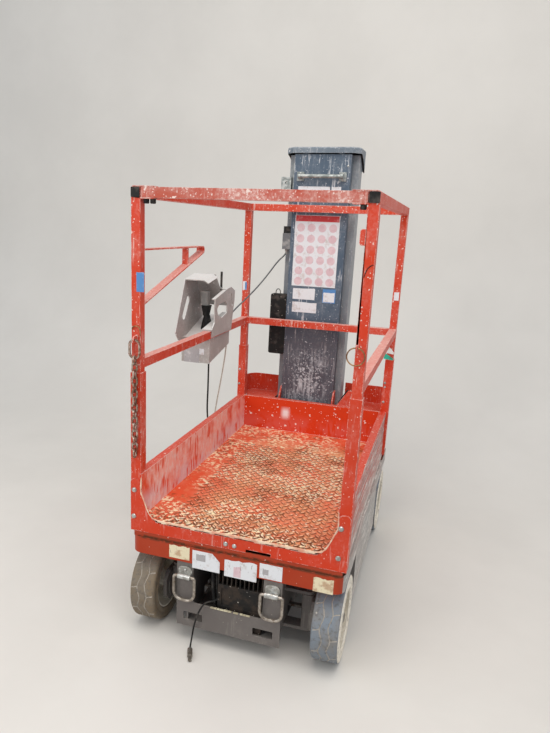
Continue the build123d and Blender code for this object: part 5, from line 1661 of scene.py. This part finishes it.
@dataclass
class Wheel:
    """A solid tyre with two zigzag sipes that fork to the shoulders, and the fittings on its rim."""

    finishes: Paints
    name: str
    side: int
    axle_y: float
    tread: str
    axle_x: float = 330.5
    axle_z: float = 150.0
    radius: float = 150.0
    width: float = 95.0
    bore: float = 104.0
    shoulder: float = 10.0
    crown_half: float = 28.0
    sipe_at: float = 14.0
    sipe_width: float = 3.4
    sipe_depth: float = 2.5
    zigzag: float = 5.0
    slant: float = 0.11 / 34.0
    fork_end: float = 41.0
    pitches: int = 11
    # places around one pitch, close together where a sipe has its walls and floor
    steps: tuple[float, ...] = (0.0, 0.022, 0.044, 0.2, 0.35, 0.5, 0.522, 0.544, 0.7, 0.85)
    nuts: int = 5
    nut_circle: float = 47.0

    @property
    def middle(self) -> Point:
        """The middle of the wheel, in machine millimetres."""
        return (self.side * self.axle_x, self.axle_y, self.axle_z)

    def build(self) -> None:
        """Make the tyre and the rim's fittings."""
        self.tyre()
        self.fittings()

    def profile(self) -> list[tuple[float, float]]:
        """Draw half of the closed profile, from the bore to the middle.

        Returns:
            Places along the axle and their radiuses, in millimetres.
        """
        half, bore, crown = self.width / 2, self.bore, self.radius
        line = [(half - 4, bore), (half, bore + 4), (half, bore + 12)]
        line += [(half - 1.6, bore + 15), (half - 1.6, bore + 21), (half, bore + 24)]
        for turn in (math.pi / 8 * step for step in range(5)):
            reach = half - self.shoulder * (1 - math.cos(turn))
            line.append((reach, crown - self.shoulder * (1 - math.sin(turn))))
        sipe, wall = self.sipe_at, self.sipe_width / 2
        return line + [(x, crown) for x in (self.crown_half, sipe + wall, sipe, sipe - wall, 0.0)]

    def tyre(self) -> None:
        """Spin the profile, then press the sipes in."""
        mesh = bmesh.new()
        half = self.profile()
        rows = half + [(-x, r) for x, r in reversed(half[:-1])]
        row_of = mesh.verts.layers.int.new("row")
        hub = at(*self.middle)
        verts = []
        for index, (x, r) in enumerate(rows):
            verts.append(mesh.verts.new(hub + Vector((x, r, 0.0)) / 1000))
            verts[-1][row_of] = index
        edges = [mesh.edges.new(pair) for pair in zip(verts, verts[1:] + verts[:1])]
        rings = self.pitches * len(self.steps)
        bmesh.ops.spin(
            mesh, geom=verts + edges, cent=hub, axis=RIGHT, angle=math.tau, steps=rings,
            use_merge=True, use_duplicate=False,
        )
        place_of = {}
        for vertex in mesh.verts:
            around = math.atan2(vertex.co.z - hub.z, vertex.co.y - hub.y) % math.tau
            pitch, step = divmod(round(around / math.tau * rings) % rings, len(self.steps))
            x, r = rows[vertex[row_of]]
            place_of[vertex] = (x, step)
            share = self.steps[step]
            swing = self.zigzag * math.cos(math.tau * (share - self.steps[1])) if 0 < abs(x) < 20 else 0.0
            depth = self.sipe_depth if self.sunk(x, r, step) else 0.0
            angle = math.tau * (pitch + share - self.slant * x) / self.pitches
            spot = Vector((x - swing, (r - depth) * math.cos(angle), (r - depth) * math.sin(angle)))
            vertex.co = hub + spot / 1000
        bmesh.ops.recalc_face_normals(mesh, faces=mesh.faces)
        for face in mesh.faces:
            face.material_index = self.kind([place_of[vertex] for vertex in face.verts])
        materials = [self.finishes[finish] for finish in (self.tread, "sipe_dust", "sidewall")]
        place(mesh, "tread_" + self.name, "wheel_" + self.name, materials, "tyre", nodes=("tyre_" + self.name,))

    def sunk(self, x: float, r: float, step: int) -> bool:
        """Tell whether a point lies at the bottom of a sipe.

        Args:
            x: its place along the axle.
            r: its radius.
            step: its step around the pitch.

        Returns:
            True at the bottom.
        """
        fork = (step == 1 and x < -self.sipe_at) or (step == 6 and x > self.sipe_at)
        return r >= self.radius - 1 and (abs(x) == self.sipe_at or fork)

    def kind(self, spots: Sequence[tuple[float, int]]) -> int:
        """Tell what a face belongs to.

        Args:
            spots: place along the axle and step of each of its corners.

        Returns:
            Index of its material: tread, sipe or outer sidewall.
        """
        reach = [x for x, _ in spots]
        steps = {step for _, step in spots}
        middle = abs(sum(reach)) / len(reach)
        fork = 1 if sum(reach) < 0 else 6
        forks = steps <= {fork - 1, fork} or steps <= {fork, fork + 1}
        sipe = abs(middle - self.sipe_at) < self.sipe_width / 2
        if sipe or (forks and self.sipe_at < middle < self.fork_end):
            return 1
        outer = min(x * self.side for x in reach) > self.width / 2 - self.shoulder + 4
        return 2 if outer else 0

    def fittings(self) -> None:
        """The nuts and the grease cap on the outer face of the rim."""
        mesh = bmesh.new()
        middle, side = Vector(self.middle), self.side
        cap = middle + Vector((side * (self.width / 2 - 13.0), 0.0, 0.0))
        bolt(mesh, tuple(cap), (float(side), 0.0, 0.0), 20.0, 9.0)
        for index in range(self.nuts):
            angle = math.tau * (index + 0.5) / self.nuts
            around = Vector((0.0, math.cos(angle), math.sin(angle))) * self.nut_circle
            foot = middle + around + Vector((side * (self.width / 2 - 18.2), 0.0, 0.0))
            rod(mesh, tuple(foot), tuple(foot + Vector((side * 7.0, 0.0, 0.0))), 8.0, 7.5, 6)
        place(mesh, "nuts_" + self.name, "wheel_" + self.name, self.finishes["zinc"], "steel", 0.5)


def main() -> None:
    """Build the studio and every sub-assembly."""
    logging.basicConfig(level=logging.INFO, format="%(message)s")
    finishes = {name: finish.build() for name, finish in FINISHES.items()}
    Studio().build()
    rigid = Rigid(finishes)
    rigid.build()
    Wheel(finishes, "front_left", -1, -517.0, "tyre").build()
    Wheel(finishes, "front_right", 1, -517.0, "tyre_blue").build()
    Wheel(finishes, "rear_left", -1, 533.0, "tyre").build()
    Wheel(finishes, "rear_right", 1, 533.0, "tyre_blue").build()
    CheckerBars(finishes).build()
    Stickers(finishes).build()
    Bolts(finishes).build()
    Trim(finishes).build()
    Cords(finishes).build(rigid.made["charge_plug"])


if __name__ == "__main__":
    main()
